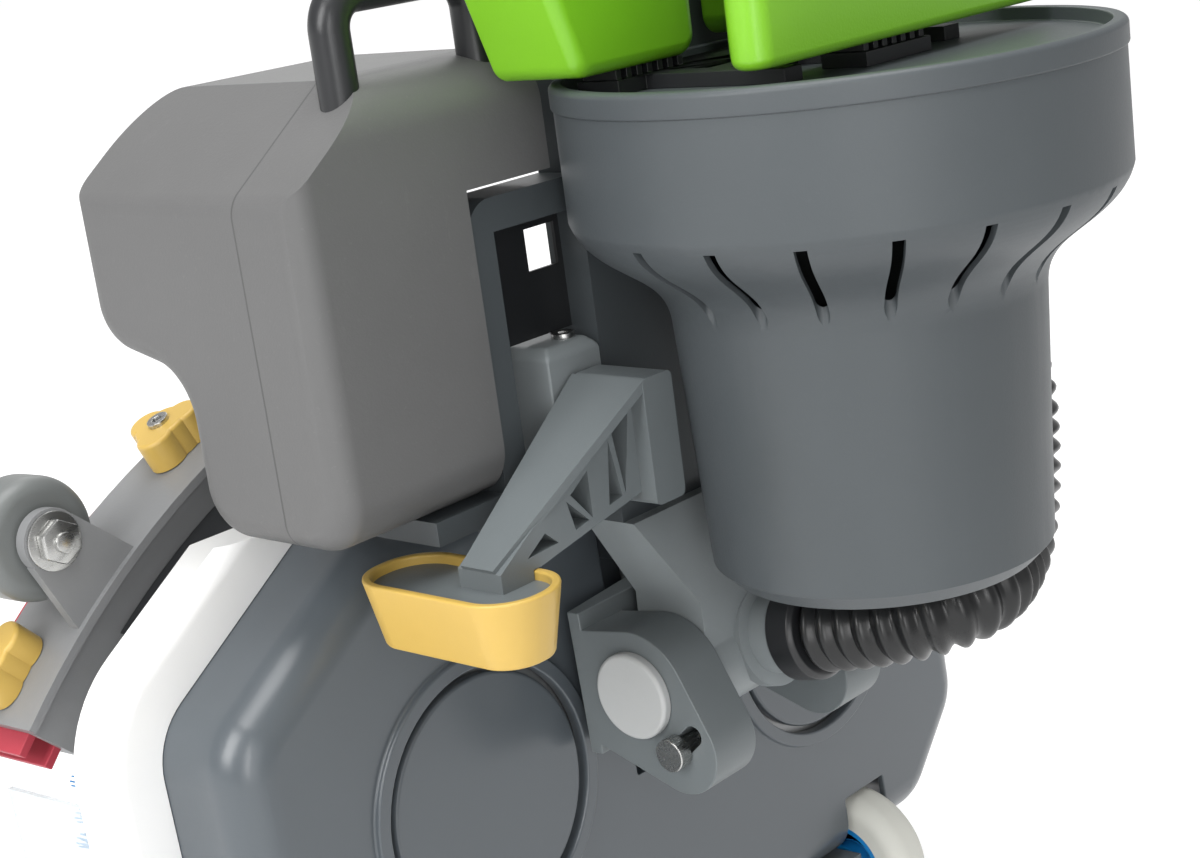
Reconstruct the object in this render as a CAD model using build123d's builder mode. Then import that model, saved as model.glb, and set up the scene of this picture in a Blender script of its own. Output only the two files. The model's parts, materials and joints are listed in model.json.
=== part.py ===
from build123d import *
import os
from math import atan2, cos, degrees, radians, sin, sqrt

os.makedirs("parts", exist_ok=True)

# Upright floor scrubber in its parked position, in millimetres.
# +Z is up, +Y is the rear (operator's side) and -X is the machine's right side.
# "Deck" places are (across, rearwards, out of the deck's top), "column" places are (across, rearwards, up).

# driving sizes: stance
deck_lean = 13.0
column_lean = 10.0
ground_shift = 4.0

# driving sizes: fits
running_fit = 0.06
loose_fit = 0.3
body_gap = 2.0

# driving sizes: transport wheels
wheel_radius = 40.0
wheel_width = 26.0
wheel_middle = 143.0
hub_radius = 24.0
axle_radius = 6.0
axle_forward = 149.0
axle_depth = 12.0
axle_head_radius = 10.0
axle_head_length = 4.0

# driving sizes: scrub deck
deck_half_width = 245.0
deck_rear = 132.0
deck_front = 138.0
deck_rear_half = 150.0
deck_front_half = 196.0
deck_shoulder_rear = 72.0
deck_shoulder_front = 92.0
deck_corner_radius = 34.0
deck_height = 62.0
deck_wall = 4.0
deck_edge_radius = 20.0
brush_spacing = 235.0
cover_radius = 56.5
cover_rise = 1.5
cover_gap = 3.5
lip_width = 7.0
lip_rise = 3.0
valley_half = 24.0
valley_depth = 14.0
rim_width = 27.0
rim_thickness = 24.0
rim_ledge = 10.0
rim_edge_radius = 9.0
rim_tab_half = 206.0
apron_depth = 140.0
apron_thickness = 8.0
apron_half = 112.0
guard_inset = 6.0
guard_wall = 2.5
guard_depth = 141.0

# driving sizes: brushes
motor_flange_radius = 68.0
motor_flange_thickness = 6.0
motor_radius = 48.0
motor_depth = 72.0
shaft_radius = 8.0
shaft_length = 20.0
drive_hub_radius = 30.0
drive_hub_height = 22.0
brush_radius = 112.0
brush_plate_thickness = 18.0
bristle_length = 42.0
bristle_side = 3.4
bristle_slice = 2.0
bristle_rings = 5
bristle_first_ring = 60.0
bristle_ring_step = 11.8
bristle_first_count = 24
bristle_count_step = 6

# driving sizes: squeegee
squeegee_radius = 380.0
squeegee_centre = 183.0
squeegee_half_angle = 46.0
squeegee_width = 30.0
squeegee_top = 100.0
squeegee_height = 48.0
squeegee_wall = 6.0
blade_thickness = 4.0
blade_overhang = 12.0
blade_extra_angle = 1.5
knob_angles = (23.4, 42.5)
knob_lobe_radius = 9.0
knob_lobe_reach = 10.0
knob_thickness = 15.0
knob_stud_radius = 4.0
knob_level = 130.0
roller_angle = 35.6
roller_offset = 33.0
roller_radius = 27.0
roller_width = 26.0
roller_pin_radius = 5.0
roller_nut_radius = 10.0
roller_nut_height = 6.0
duct_lap = 12.0

# driving sizes: swivel between deck and column
pivot_rearward = 33.0
pivot_height = 46.0
pivot_pin_radius = 9.0
barrel_radius = 24.0
barrel_half = 34.0
ear_thickness = 28.0
ear_radius = 29.0
ear_nose_radius = 21.0
bolt_rearward = 9.0
bolt_height = 66.0
bolt_radius = 4.5
bolt_reach = 10.0
bolt_travel = 12.0
bolt_head_length = 7.0
lug_radius = 7.0
lug_turn = 22.5
cap_radius = 20.0
cap_thickness = 5.0
roll_height = 4.0
roll_pin_radius = 6.0
sleeve_radius = 12.0
sleeve_front = 5.0
sleeve_rear = 73.0
boss_length = 18.0

# driving sizes: column
frame_half = 56.0
frame_thickness = 22.0
frame_bottom = 78.0
frame_top = 340.0
loop_outer = 122.0
loop_band = 14.0
loop_bottom = 84.0
loop_top = 232.0
socket_radius = 25.0
socket_height = 70.0
tube_radius = 17.5
tube_wall = 2.5
tube_top = 905.0
tube_bottom = 280.0

# driving sizes: vacuum bucket
bucket_axis = 96.0
bucket_bottom = 57.0
bucket_foot_radius = 72.0
bucket_waist_radius = 77.0
bucket_waist = 168.0
bucket_rim_radius = 114.0
bucket_shoulder = 216.0
bucket_top = 262.0
bucket_wall = 4.0
bucket_chamfer = 7.0
slot_count = 12
slot_pitch = 18.0
slot_width = 5.0
slot_bottom = 172.0
slot_top = 212.0
rim_collar_height = 10.0
rim_collar_wall = 5.0
rim_floor = 4.0
vacuum_radius = 52.0
vacuum_height = 78.0
fan_radius = 46.0
fan_height = 20.0
fan_shaft_radius = 5.0

# driving sizes: batteries
battery_bottom = 276.0
battery_height = 150.0
front_battery_half = 114.0
front_battery_face = 137.0
front_battery_depth = 40.0
front_battery_taper = 48.0
side_battery_inner = 29.0
side_battery_outer = 100.0
side_battery_face = 52.0
side_battery_depth = 46.0
side_battery_flare = 16.0
side_battery_flare_height = 46.0
battery_corner = 9.0
contact_width = 44.0
contact_depth = 22.0
contact_across = 54.0
contact_ribs = 7

# driving sizes: tanks
tank_inner = 124.0
tank_outer = 212.0
tank_front = 5.0
tank_low_rear = 84.0
tank_high_rear = 136.0
tank_bottom = 112.0
tank_step = 178.0
tank_shoulder = 250.0
tank_top = 288.0
tank_crown_half = 160.0
tank_crown_inner = 76.0
tank_crown_bottom = 238.0
tank_corner = 22.0
tank_edge = 12.0
handle_bar_radius = 8.0
handle_rise = 32.0
handle_inner = 92.0
handle_outer = 166.0
handle_rearward = 12.0
handle_socket = 18.0
handle_bend = 14.0

# driving sizes: suction hose
hose_radius = 20.0
hose_valley = 17.0
hose_bore = 14.5
rib_pitch = 9.3
cuff_radius = 23.0
cuff_length = 16.0
port_radius = 19.0
port_flange_radius = 25.0
port_flange_thickness = 6.0
hose_port_across = 9.0
hose_port_up = 10.0
hose_port_reach = 36.0
hose_port_tilt = 12.0
hose_first_run = 75.0
hose_far_reach = 102.0
hose_far_up = 31.0
hose_top_across = 100.0
hose_top_up = 158.0
hose_bends = (30.0, 34.0, 34.0)

# driving sizes: foot pedal
block_half = 16.0
block_depth = 34.0
block_top = 164.0
block_across = 74.0
pedal_pin_radius = 5.0
pedal_pin_height = 112.0
head_half_width = 9.0
head_across = 71.0
head_bottom = 98.0
head_top = 152.0
head_front = 44.0
head_rear = 6.0
arm_web = 4.0
arm_bays = 5
arm_front = 36.0
arm_rear = 12.0
pad_across = 165.0
pad_half_width = 22.0
pad_half_length = 47.0
pad_forward = 12.0
pad_bottom = 63.0
pad_top = 92.0
pad_lip = 4.0

# driving sizes: handle
head_box_half = 58.0
head_box_depth = 62.0
head_box_bottom = 882.0
head_box_top = 964.0
bar_radius = 12.0
bar_half = 182.0
bar_height = 930.0
grip_radius = 17.0
grip_length = 108.0
trigger_length = 88.0
trigger_width = 13.0
trigger_drop = 12.0
trigger_pin_radius = 3.0
trigger_pin_height = 904.0
trigger_pin_offset = 8.0
trigger_lug = 6.0
button_radius = 10.0
button_rise = 4.0

# the deck stands on its wheels, so its height follows from them
deck_height_over_floor = (
    wheel_radius + axle_forward * cos(radians(deck_lean)) + axle_depth * sin(radians(deck_lean))
)
deck_plane = Plane(
    origin=(0, ground_shift, deck_height_over_floor),
    x_dir=(1, 0, 0),
    z_dir=(0, -cos(radians(deck_lean)), sin(radians(deck_lean))),
)
deck_axis = Axis(deck_plane.origin, deck_plane.z_dir)
pivot_point = deck_plane.from_local_coords((0, pivot_rearward, pivot_height))
column_plane = Plane(
    origin=pivot_point,
    x_dir=(1, 0, 0),
    z_dir=(0, sin(radians(column_lean)), cos(radians(column_lean))),
)
column_axis = Axis(column_plane.origin, column_plane.z_dir)
sides = ((-1, "right"), (1, "left"))


def keep(piece, name):
    piece.part.label = name
    export_step(piece.part, f"parts/{name}.step")


def deck_side(across):
    # plane square to the deck's width, drawn as (rearwards, out of the deck)
    place = deck_plane.from_local_coords((across, 0, 0))
    return Plane(origin=place, x_dir=deck_plane.y_dir, z_dir=(1, 0, 0))


def deck_across(rearward):
    # plane square to the deck's fore and aft line, drawn as (across, into the deck)
    place = deck_plane.from_local_coords((0, rearward, 0))
    return Plane(origin=place, x_dir=(1, 0, 0), z_dir=deck_plane.y_dir)


def column_side(across):
    # plane square to the column's width, drawn as (rearwards, up)
    place = column_plane.from_local_coords((across, 0, 0))
    return Plane(origin=place, x_dir=column_plane.y_dir, z_dir=(1, 0, 0))


def column_front(rearward):
    # plane that faces forwards, drawn as (across, up)
    place = column_plane.from_local_coords((0, rearward, 0))
    return Plane(origin=place, x_dir=(1, 0, 0), z_dir=-column_plane.y_dir)


def column_level(up):
    return column_plane.offset(up)


def deck_outline(level, grow):
    with BuildSketch(deck_plane.offset(level)) as outline:
        with BuildLine():
            Polyline(
                (deck_rear_half, deck_rear),
                (-deck_rear_half, deck_rear),
                (-deck_half_width, deck_shoulder_rear),
                (-deck_half_width, -deck_shoulder_front),
                (-deck_front_half, -deck_front),
                (deck_front_half, -deck_front),
                (deck_half_width, -deck_shoulder_front),
                (deck_half_width, deck_shoulder_rear),
                close=True,
            )
        make_face()
        fillet(outline.vertices(), radius=deck_corner_radius)
        if grow:
            offset(amount=grow)
    return outline.sketch


# deck housing: a moulded dome with two lipped motor openings and a valley for the swivel
opening_radius = cover_radius + cover_gap
lip_radius = opening_radius + lip_width
well_radius = wheel_radius + 4.0
well_length = wheel_width + 8.0
boss_front = -sleeve_front - body_gap - boss_length
boss_rear = sleeve_rear + body_gap
with BuildPart(deck_plane) as deck_housing:
    extrude(deck_outline(-deck_height, 0), amount=deck_height)
    fillet(deck_housing.faces().sort_by(deck_axis)[-1].edges(), radius=deck_edge_radius)
    offset(amount=-deck_wall, openings=deck_housing.faces().sort_by(deck_axis)[0])
    with BuildSketch(deck_plane.offset(-lip_rise)):
        with GridLocations(brush_spacing, 1, 2, 1):
            Circle(lip_radius)
    extrude(amount=2 * lip_rise)
    with BuildSketch(deck_plane.offset(-deck_wall * 2)):
        with GridLocations(brush_spacing, 1, 2, 1):
            Circle(opening_radius)
    extrude(amount=deck_wall * 4, mode=Mode.SUBTRACT)
    # sunk valley under the swivel
    valley_front = boss_front - 4.0
    valley_rear = boss_rear + boss_length + 4.0
    valley_middle = (valley_front + valley_rear) / 2
    valley_length = valley_rear - valley_front
    with BuildSketch(deck_plane.offset(-valley_depth - deck_wall)):
        with Locations((0, valley_middle)):
            Rectangle(2 * (valley_half + deck_wall), valley_length + 2 * deck_wall)
    extrude(amount=valley_depth + deck_wall - 1.0)
    with BuildSketch(deck_plane.offset(-valley_depth)):
        with Locations((0, valley_middle)):
            Rectangle(2 * valley_half, valley_length)
    extrude(amount=valley_depth + lip_rise, mode=Mode.SUBTRACT)
    # bosses that carry the roll pin
    for start in (boss_front, boss_rear):
        with BuildSketch(deck_across(start)):
            with Locations((0, -roll_height)):
                Circle(sleeve_radius)
            with Locations((0, (valley_depth - roll_height) / 2)):
                Rectangle(2 * sleeve_radius, valley_depth + roll_height)
        extrude(amount=boss_length)
    with BuildSketch(deck_across(boss_front)):
        with Locations((0, -roll_height)):
            Circle(roll_pin_radius)
    extrude(amount=boss_rear + boss_length - boss_front, mode=Mode.SUBTRACT)
    # wheel wells at the front edge
    for side, name in sides:
        with BuildSketch(deck_side(side * wheel_middle - well_length / 2)):
            with Locations((-axle_forward, -axle_depth)):
                Circle(well_radius)
        extrude(amount=well_length, mode=Mode.SUBTRACT)
keep(deck_housing, "deck_housing")

# white rim: a bumper under the housing, stepped at the rear, with the apron that it parks on
rim_bottom = deck_height + rim_thickness / 2
apron_forward = (deck_height_over_floor - apron_depth * sin(radians(deck_lean))) / cos(radians(deck_lean))
with BuildPart(deck_plane) as deck_rim:
    extrude(deck_outline(-rim_bottom, rim_width), amount=rim_thickness)
    fillet(deck_rim.faces().sort_by(deck_axis)[-1].edges(), radius=rim_edge_radius)
    extrude(deck_outline(-deck_height, loose_fit), amount=rim_thickness, mode=Mode.SUBTRACT)
    extrude(deck_outline(-rim_bottom, -rim_ledge), amount=rim_thickness, mode=Mode.SUBTRACT)
    # the rear is cut back between two tabs, to clear the squeegee
    with BuildSketch(deck_plane.offset(-rim_bottom)) as rear_cut:
        with Locations((0, deck_rear + rim_ledge / 2 + rim_width)):
            RectangleRounded(2 * rim_tab_half, 2 * rim_width, rim_edge_radius)
    extrude(amount=rim_thickness, mode=Mode.SUBTRACT)
    with BuildSketch(deck_side(-apron_half)):
        with BuildLine():
            Polyline(
                (-apron_forward - apron_thickness, -apron_depth),
                (-apron_forward + apron_thickness, -apron_depth),
                (-deck_front - rim_width / 3 + apron_thickness, -rim_bottom + 1),
                (-deck_front - rim_width / 2, -rim_bottom + 1),
                close=True,
            )
        make_face()
    extrude(amount=2 * apron_half)
    for side, name in sides:
        with BuildSketch(deck_side(side * wheel_middle - well_length / 2)):
            with Locations((-axle_forward, -axle_depth)):
                Circle(well_radius)
        extrude(amount=well_length, mode=Mode.SUBTRACT)
    # the apron's foot is level with the floor
    split(bisect_by=Plane.XY, keep=Keep.TOP)
keep(deck_rim, "deck_rim")

# splash guard: clear skirt round the sides and front of the brushes
with BuildPart(deck_plane) as splash_guard:
    guard_reach = rim_width - guard_inset
    extrude(deck_outline(-guard_depth, guard_reach), amount=guard_depth - rim_bottom)
    guard_hollow = deck_outline(-guard_depth, guard_reach - guard_wall)
    extrude(guard_hollow, amount=guard_depth - rim_bottom, mode=Mode.SUBTRACT)
    with BuildSketch(deck_plane.offset(-guard_depth)):
        with Locations((0, deck_rear)):
            Rectangle(3 * deck_half_width, 2 * (deck_rear - deck_shoulder_rear + rim_width))
        with Locations((0, -deck_front)):
            Rectangle(2 * apron_half + 8, deck_front)
    extrude(amount=guard_depth, mode=Mode.SUBTRACT)
keep(splash_guard, "splash_guard")

# axle bracket: ribbed bar across the deck's front edge
bracket_half = wheel_middle - wheel_width / 2 - body_gap
bracket_top = 3.0
bracket_bottom = deck_height - rim_thickness / 2 - loose_fit
rib_count = 9
with BuildPart(deck_plane) as axle_bracket:
    with BuildSketch(deck_side(-bracket_half)) as bracket_profile:
        with BuildLine():
            Polyline(
                (-deck_front, -bracket_bottom),
                (-axle_forward - 10, -bracket_bottom),
                (-axle_forward - 15, -axle_depth),
                (-axle_forward - 8, bracket_top),
                (-deck_front, bracket_top),
                close=True,
            )
        make_face()
    extrude(amount=2 * bracket_half)
    with BuildSketch(deck_plane.offset(bracket_top)):
        with Locations((0, -axle_forward - 8)):
            with GridLocations(2 * bracket_half / rib_count, 1, rib_count, 1):
                Rectangle(bracket_half / rib_count, 24)
    extrude(amount=-bracket_top - bracket_bottom, mode=Mode.SUBTRACT)
    with BuildSketch(deck_side(-bracket_half)):
        with Locations((-axle_forward, -axle_depth)):
            Circle(axle_radius + 4)
    extrude(amount=2 * bracket_half)
    with BuildSketch(deck_side(-bracket_half)):
        with Locations((-axle_forward, -axle_depth)):
            Circle(axle_radius)
    extrude(amount=2 * bracket_half, mode=Mode.SUBTRACT)
keep(axle_bracket, "axle_bracket")

axle_half = wheel_middle + wheel_width / 2 + body_gap
with BuildPart(deck_plane) as wheel_axle:
    with BuildSketch(deck_side(-axle_half)):
        with Locations((-axle_forward, -axle_depth)):
            Circle(axle_radius)
    extrude(amount=2 * axle_half)
    for start in (-axle_half - axle_head_length, axle_half):
        with BuildSketch(deck_side(start)):
            with Locations((-axle_forward, -axle_depth)):
                Circle(axle_head_radius)
        extrude(amount=axle_head_length)
keep(wheel_axle, "wheel_axle")

# transport wheels: spoked hub with a soft tyre
hub_web = 7.0
hub_band = 4.0
hub_core = 11.0
hub_window_radius = 5.6
for side, name in sides:
    with BuildPart(deck_plane) as wheel_hub:
        start = side * wheel_middle - wheel_width / 2 + 1
        with BuildSketch(deck_side(start)):
            with Locations((-axle_forward, -axle_depth)):
                Circle(hub_radius)
                Circle(hub_radius - hub_band, mode=Mode.SUBTRACT)
                Circle(hub_core)
        extrude(amount=wheel_width - 2)
        with BuildSketch(deck_side(side * wheel_middle - hub_web / 2)):
            with Locations((-axle_forward, -axle_depth)):
                Circle(hub_radius - 1)
        extrude(amount=hub_web)
        with BuildSketch(deck_side(start)):
            with Locations((-axle_forward, -axle_depth)):
                with PolarLocations((hub_core + hub_radius - hub_band) / 2, 5):
                    Circle(hub_window_radius - 1.6)
                Circle(axle_radius + running_fit)
        extrude(amount=wheel_width, mode=Mode.SUBTRACT)
    keep(wheel_hub, f"wheel_hub_{name}")

    with BuildPart(deck_plane) as wheel_tyre:
        with BuildSketch(deck_side(side * wheel_middle - wheel_width / 2)):
            with Locations((-axle_forward, -axle_depth)):
                Circle(wheel_radius)
        extrude(amount=wheel_width)
        fillet(wheel_tyre.edges(), radius=wheel_width * 0.36)
        with BuildSketch(deck_side(side * wheel_middle - wheel_width / 2)):
            with Locations((-axle_forward, -axle_depth)):
                Circle(hub_radius)
        extrude(amount=wheel_width, mode=Mode.SUBTRACT)
    keep(wheel_tyre, f"wheel_tyre_{name}")

# brush drives: motor under the deck, round cover above it, hub, backing plate and bristles below it
motor_top = -deck_wall
hub_top = -motor_depth - body_gap
plate_top = hub_top - drive_hub_height
plate_bottom = plate_top - brush_plate_thickness
for side, name in sides:
    brush_plane = Plane(
        origin=deck_plane.from_local_coords((side * brush_spacing / 2, 0, 0)),
        x_dir=(1, 0, 0),
        z_dir=deck_plane.z_dir,
    )
    with BuildPart(brush_plane) as motor_cover:
        with BuildSketch(brush_plane.offset(motor_top)):
            Circle(cover_radius)
        extrude(amount=cover_rise - motor_top)
        chamfer(motor_cover.faces().sort_by(deck_axis)[-1].edges(), length=1.2)
    keep(motor_cover, f"motor_cover_{name}")

    with BuildPart(brush_plane) as brush_motor:
        with BuildSketch(brush_plane.offset(motor_top)):
            Circle(motor_flange_radius)
        extrude(amount=-motor_flange_thickness)
        with BuildSketch(brush_plane.offset(-motor_depth)):
            Circle(motor_radius)
        extrude(amount=motor_depth + motor_top - 1)
        with BuildSketch(brush_plane.offset(-motor_depth)):
            Circle(shaft_radius)
        extrude(amount=-shaft_length)
        with BuildSketch(brush_plane.offset(-motor_depth + 6)):
            with PolarLocations(motor_radius, 18):
                Rectangle(5, 4)
        extrude(amount=motor_depth - 24, mode=Mode.SUBTRACT)
    keep(brush_motor, f"brush_motor_{name}")

    with BuildPart(brush_plane) as drive_hub:
        with BuildSketch(brush_plane.offset(plate_top)):
            Circle(drive_hub_radius)
            with PolarLocations(drive_hub_radius, 3):
                Circle(8)
        extrude(amount=drive_hub_height)
        with BuildSketch(brush_plane.offset(plate_top)):
            Circle(shaft_radius + running_fit)
        extrude(amount=drive_hub_height, mode=Mode.SUBTRACT)
    keep(drive_hub, f"drive_hub_{name}")

    with BuildPart(brush_plane) as brush_plate:
        with BuildSketch(brush_plane.offset(plate_bottom + bristle_slice)):
            Circle(brush_radius)
        extrude(amount=brush_plate_thickness - bristle_slice)
        chamfer(brush_plate.faces().sort_by(deck_axis)[-1].edges(), length=6)
        with BuildSketch(brush_plane.offset(plate_bottom)):
            Circle(shaft_radius + body_gap)
        extrude(amount=brush_plate_thickness, mode=Mode.SUBTRACT)
    keep(brush_plate, f"brush_plate_{name}")

    # tufts stand in rings, and one fuse joins them to a slice of their backing
    with BuildPart(brush_plane) as brush_bristles:
        with BuildSketch(brush_plane.offset(plate_bottom - bristle_length)):
            for ring in range(bristle_rings):
                with PolarLocations(
                    bristle_first_ring + ring * bristle_ring_step,
                    bristle_first_count + ring * bristle_count_step,
                ):
                    Rectangle(bristle_side, bristle_side)
        extrude(amount=bristle_length + bristle_slice / 2)
        with BuildSketch(brush_plane.offset(plate_bottom)):
            Circle(brush_radius)
            Circle(bristle_first_ring - 6, mode=Mode.SUBTRACT)
        extrude(amount=bristle_slice)
    keep(brush_bristles, f"brush_bristles_{name}")

# squeegee: an arched channel revolved about a point ahead of the deck
squeegee_origin = deck_plane.from_local_coords((0, -squeegee_centre, 0))
squeegee_turn = Axis(squeegee_origin, deck_plane.z_dir)
squeegee_flat = Plane(origin=squeegee_origin, x_dir=(1, 0, 0), z_dir=deck_plane.z_dir)


def squeegee_section(angle):
    # upright section plane through the arch's centre, drawn as (radius, out of the deck)
    radial = deck_plane.x_dir * sin(radians(angle)) + deck_plane.y_dir * cos(radians(angle))
    return Plane(origin=squeegee_origin, x_dir=radial, z_dir=radial.cross(deck_plane.z_dir))


def squeegee_face(angle, radius, level):
    # plane that faces outwards from the arch, its X along the arch
    radial = deck_plane.x_dir * sin(radians(angle)) + deck_plane.y_dir * cos(radians(angle))
    place = squeegee_origin + radial * radius + deck_plane.z_dir * level
    return Plane(origin=place, x_dir=radial.cross(deck_plane.z_dir), z_dir=radial)


def arch_point(radius, angle):
    return (radius * sin(radians(angle)), radius * cos(radians(angle)))


squeegee_inner = squeegee_radius - squeegee_width
squeegee_bottom = squeegee_top + squeegee_height
roller_reach = squeegee_radius + roller_offset
roller_level = -squeegee_top - squeegee_wall - body_gap - roller_width
roller_places = [(side, name, side * roller_angle) for side, name in sides]
with BuildPart(deck_plane) as squeegee_frame:
    with BuildSketch(squeegee_section(squeegee_half_angle)) as channel:
        with BuildLine():
            Polyline(
                (squeegee_inner, -squeegee_top),
                (squeegee_radius, -squeegee_top),
                (squeegee_radius, -squeegee_bottom),
                (squeegee_radius - squeegee_wall, -squeegee_bottom),
                (squeegee_radius - squeegee_wall, -squeegee_top - squeegee_wall),
                (squeegee_inner + squeegee_wall, -squeegee_top - squeegee_wall),
                (squeegee_inner + squeegee_wall, -squeegee_top - squeegee_height * 0.6),
                (squeegee_inner, -squeegee_top - squeegee_height * 0.6),
                close=True,
            )
        make_face()
    revolve(axis=squeegee_turn, revolution_arc=2 * squeegee_half_angle)
    # raised lip along the outer top edge
    with BuildSketch(squeegee_section(squeegee_half_angle)):
        with Locations((squeegee_radius - 2, -squeegee_top + 1)):
            Rectangle(4, 4)
    revolve(axis=squeegee_turn, revolution_arc=2 * squeegee_half_angle)
    # arms and pins for the wall rollers
    for side, name, angle in roller_places:
        with BuildSketch(squeegee_flat.offset(-squeegee_top - squeegee_wall)):
            with BuildLine():
                Polyline(
                    arch_point(squeegee_radius - 8, angle - 3.6),
                    arch_point(squeegee_radius - 8, angle + 3.6),
                    arch_point(roller_reach, angle + 2),
                    arch_point(roller_reach, angle - 2),
                    close=True,
                )
            make_face()
            with Locations(arch_point(roller_reach, angle)):
                Circle(roller_nut_radius + 4)
        extrude(amount=squeegee_wall)
        with BuildSketch(squeegee_flat.offset(-squeegee_top - squeegee_wall)):
            with Locations(arch_point(roller_reach, angle)):
                Circle(roller_pin_radius)
        extrude(amount=-roller_width - 2 * body_gap)
        with BuildSketch(squeegee_flat.offset(-squeegee_top - squeegee_wall - roller_width - 2 * body_gap)):
            with Locations(arch_point(roller_reach, angle)):
                RegularPolygon(roller_nut_radius, 6)
        extrude(amount=-roller_nut_height)
    # holes for the knobs' studs
    for side, name in sides:
        for angle in knob_angles:
            with BuildSketch(squeegee_face(side * angle, squeegee_radius - 2 * squeegee_wall, -knob_level)):
                Circle(knob_stud_radius + running_fit)
            extrude(amount=3 * squeegee_wall, mode=Mode.SUBTRACT)
keep(squeegee_frame, "squeegee_frame")

blade_angle = squeegee_half_angle + blade_extra_angle
for inner_edge, name in (
    (squeegee_inner + squeegee_wall, "front"),
    (squeegee_radius - squeegee_wall - blade_thickness, "rear"),
):
    with BuildPart(deck_plane) as squeegee_blade:
        blade_top = squeegee_top + squeegee_wall
        blade_tip = squeegee_bottom + blade_overhang
        with BuildSketch(squeegee_section(blade_angle)):
            with Locations((inner_edge + blade_thickness / 2, -(blade_top + blade_tip) / 2)):
                Rectangle(blade_thickness, blade_tip - blade_top)
        revolve(axis=squeegee_turn, revolution_arc=2 * blade_angle)
    keep(squeegee_blade, f"squeegee_blade_{name}")

for side, name in sides:
    for angle, place in zip(knob_angles, ("inner", "outer")):
        with BuildPart(deck_plane) as squeegee_knob:
            with BuildSketch(squeegee_face(side * angle, squeegee_radius + loose_fit, -knob_level)):
                Circle(knob_lobe_reach + 3)
                with PolarLocations(knob_lobe_reach, 3, start_angle=90):
                    Circle(knob_lobe_radius)
            extrude(amount=knob_thickness)
            knob_outwards = Axis((0, 0, 0), squeegee_face(side * angle, 0, 0).z_dir)
            fillet(squeegee_knob.faces().sort_by(knob_outwards)[-1].edges(), radius=2.0)
            with BuildSketch(squeegee_face(side * angle, squeegee_radius + loose_fit, -knob_level)):
                Circle(knob_stud_radius)
            extrude(amount=-squeegee_wall)
        keep(squeegee_knob, f"squeegee_knob_{place}_{name}")

for side, name, angle in roller_places:
    with BuildPart(deck_plane) as squeegee_roller:
        with BuildSketch(squeegee_flat.offset(roller_level)):
            with Locations(arch_point(roller_reach, angle)):
                Circle(roller_radius)
        extrude(amount=roller_width)
        fillet(squeegee_roller.edges(), radius=7)
        with BuildSketch(squeegee_flat.offset(roller_level)):
            with Locations(arch_point(roller_reach, angle)):
                Circle(roller_pin_radius + running_fit)
        extrude(amount=roller_width, mode=Mode.SUBTRACT)
    keep(squeegee_roller, f"squeegee_roller_{name}")

# suction duct: black crescent under the rim that carries the squeegee
with BuildPart(deck_plane) as suction_duct:
    duct_height = squeegee_top - rim_bottom
    with BuildSketch(squeegee_flat.offset(-squeegee_top)):
        Circle(squeegee_inner + duct_lap)
        with Locations((0, squeegee_centre / 2)):
            Rectangle(3 * deck_half_width, squeegee_centre + 2 * 104, mode=Mode.SUBTRACT)
        with Locations((0, squeegee_centre / 2 - 2 * squeegee_radius)):
            Rectangle(3 * squeegee_radius, 4 * squeegee_radius - squeegee_centre, mode=Mode.SUBTRACT)
        with Locations((0, squeegee_centre)):
            with GridLocations(brush_spacing, 1, 2, 1):
                Circle(brush_radius + 3 * body_gap, mode=Mode.SUBTRACT)
    extrude(amount=duct_height)
keep(suction_duct, "suction_duct")

# swivel base: rolls on the deck's pin and carries the column's pivot between two ears
ear_outer = barrel_half + ear_thickness
bolt_arm = sqrt((pivot_rearward - bolt_rearward) ** 2 + (bolt_height - pivot_height) ** 2)
slot_line = ((bolt_height - pivot_height) / bolt_arm, (pivot_rearward - bolt_rearward) / bolt_arm)
slot_angle = degrees(atan2(slot_line[1], slot_line[0]))
slot_middle = (
    bolt_rearward + slot_line[0] * bolt_travel / 2,
    bolt_height + slot_line[1] * bolt_travel / 2,
)
web_top = pivot_height - barrel_radius - 4.0
with BuildPart(deck_plane) as swivel_base:
    with BuildSketch(deck_across(-sleeve_front)):
        with Locations((0, -roll_height)):
            Circle(sleeve_radius)
    extrude(amount=sleeve_rear + sleeve_front)
    with BuildSketch(deck_across(0)):
        with BuildLine():
            Polyline(
                (-ear_outer, -web_top),
                (-ear_outer, -web_top + 7),
                (-sleeve_radius, -roll_height),
                (sleeve_radius, -roll_height),
                (ear_outer, -web_top + 7),
                (ear_outer, -web_top),
                close=True,
            )
        make_face()
    extrude(amount=sleeve_rear - sleeve_front)
    for start in (-ear_outer, barrel_half + loose_fit):
        with BuildSketch(deck_side(start)):
            with Locations((pivot_rearward, pivot_height)):
                Circle(ear_radius)
            with Locations((bolt_rearward, bolt_height)):
                Circle(ear_nose_radius)
            with Locations((pivot_rearward, web_top - 3)):
                Rectangle(sleeve_rear - 4 * sleeve_front, 4)
            make_hull()
        extrude(amount=ear_thickness - loose_fit)
    with BuildSketch(deck_side(-ear_outer)):
        with Locations((pivot_rearward, pivot_height)):
            Circle(pivot_pin_radius)
    extrude(amount=2 * ear_outer, mode=Mode.SUBTRACT)
    # slot in the near ear, square to the line from the pivot, for the park bolt
    with BuildSketch(deck_side(-ear_outer)):
        with Locations(slot_middle):
            SlotCenterToCenter(bolt_travel, 2 * (bolt_radius + running_fit), rotation=slot_angle)
    extrude(amount=ear_thickness, mode=Mode.SUBTRACT)
    with BuildSketch(deck_across(-sleeve_front)):
        with Locations((0, -roll_height)):
            Circle(roll_pin_radius + running_fit)
    extrude(amount=sleeve_rear + sleeve_front, mode=Mode.SUBTRACT)
keep(swivel_base, "swivel_base")

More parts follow.
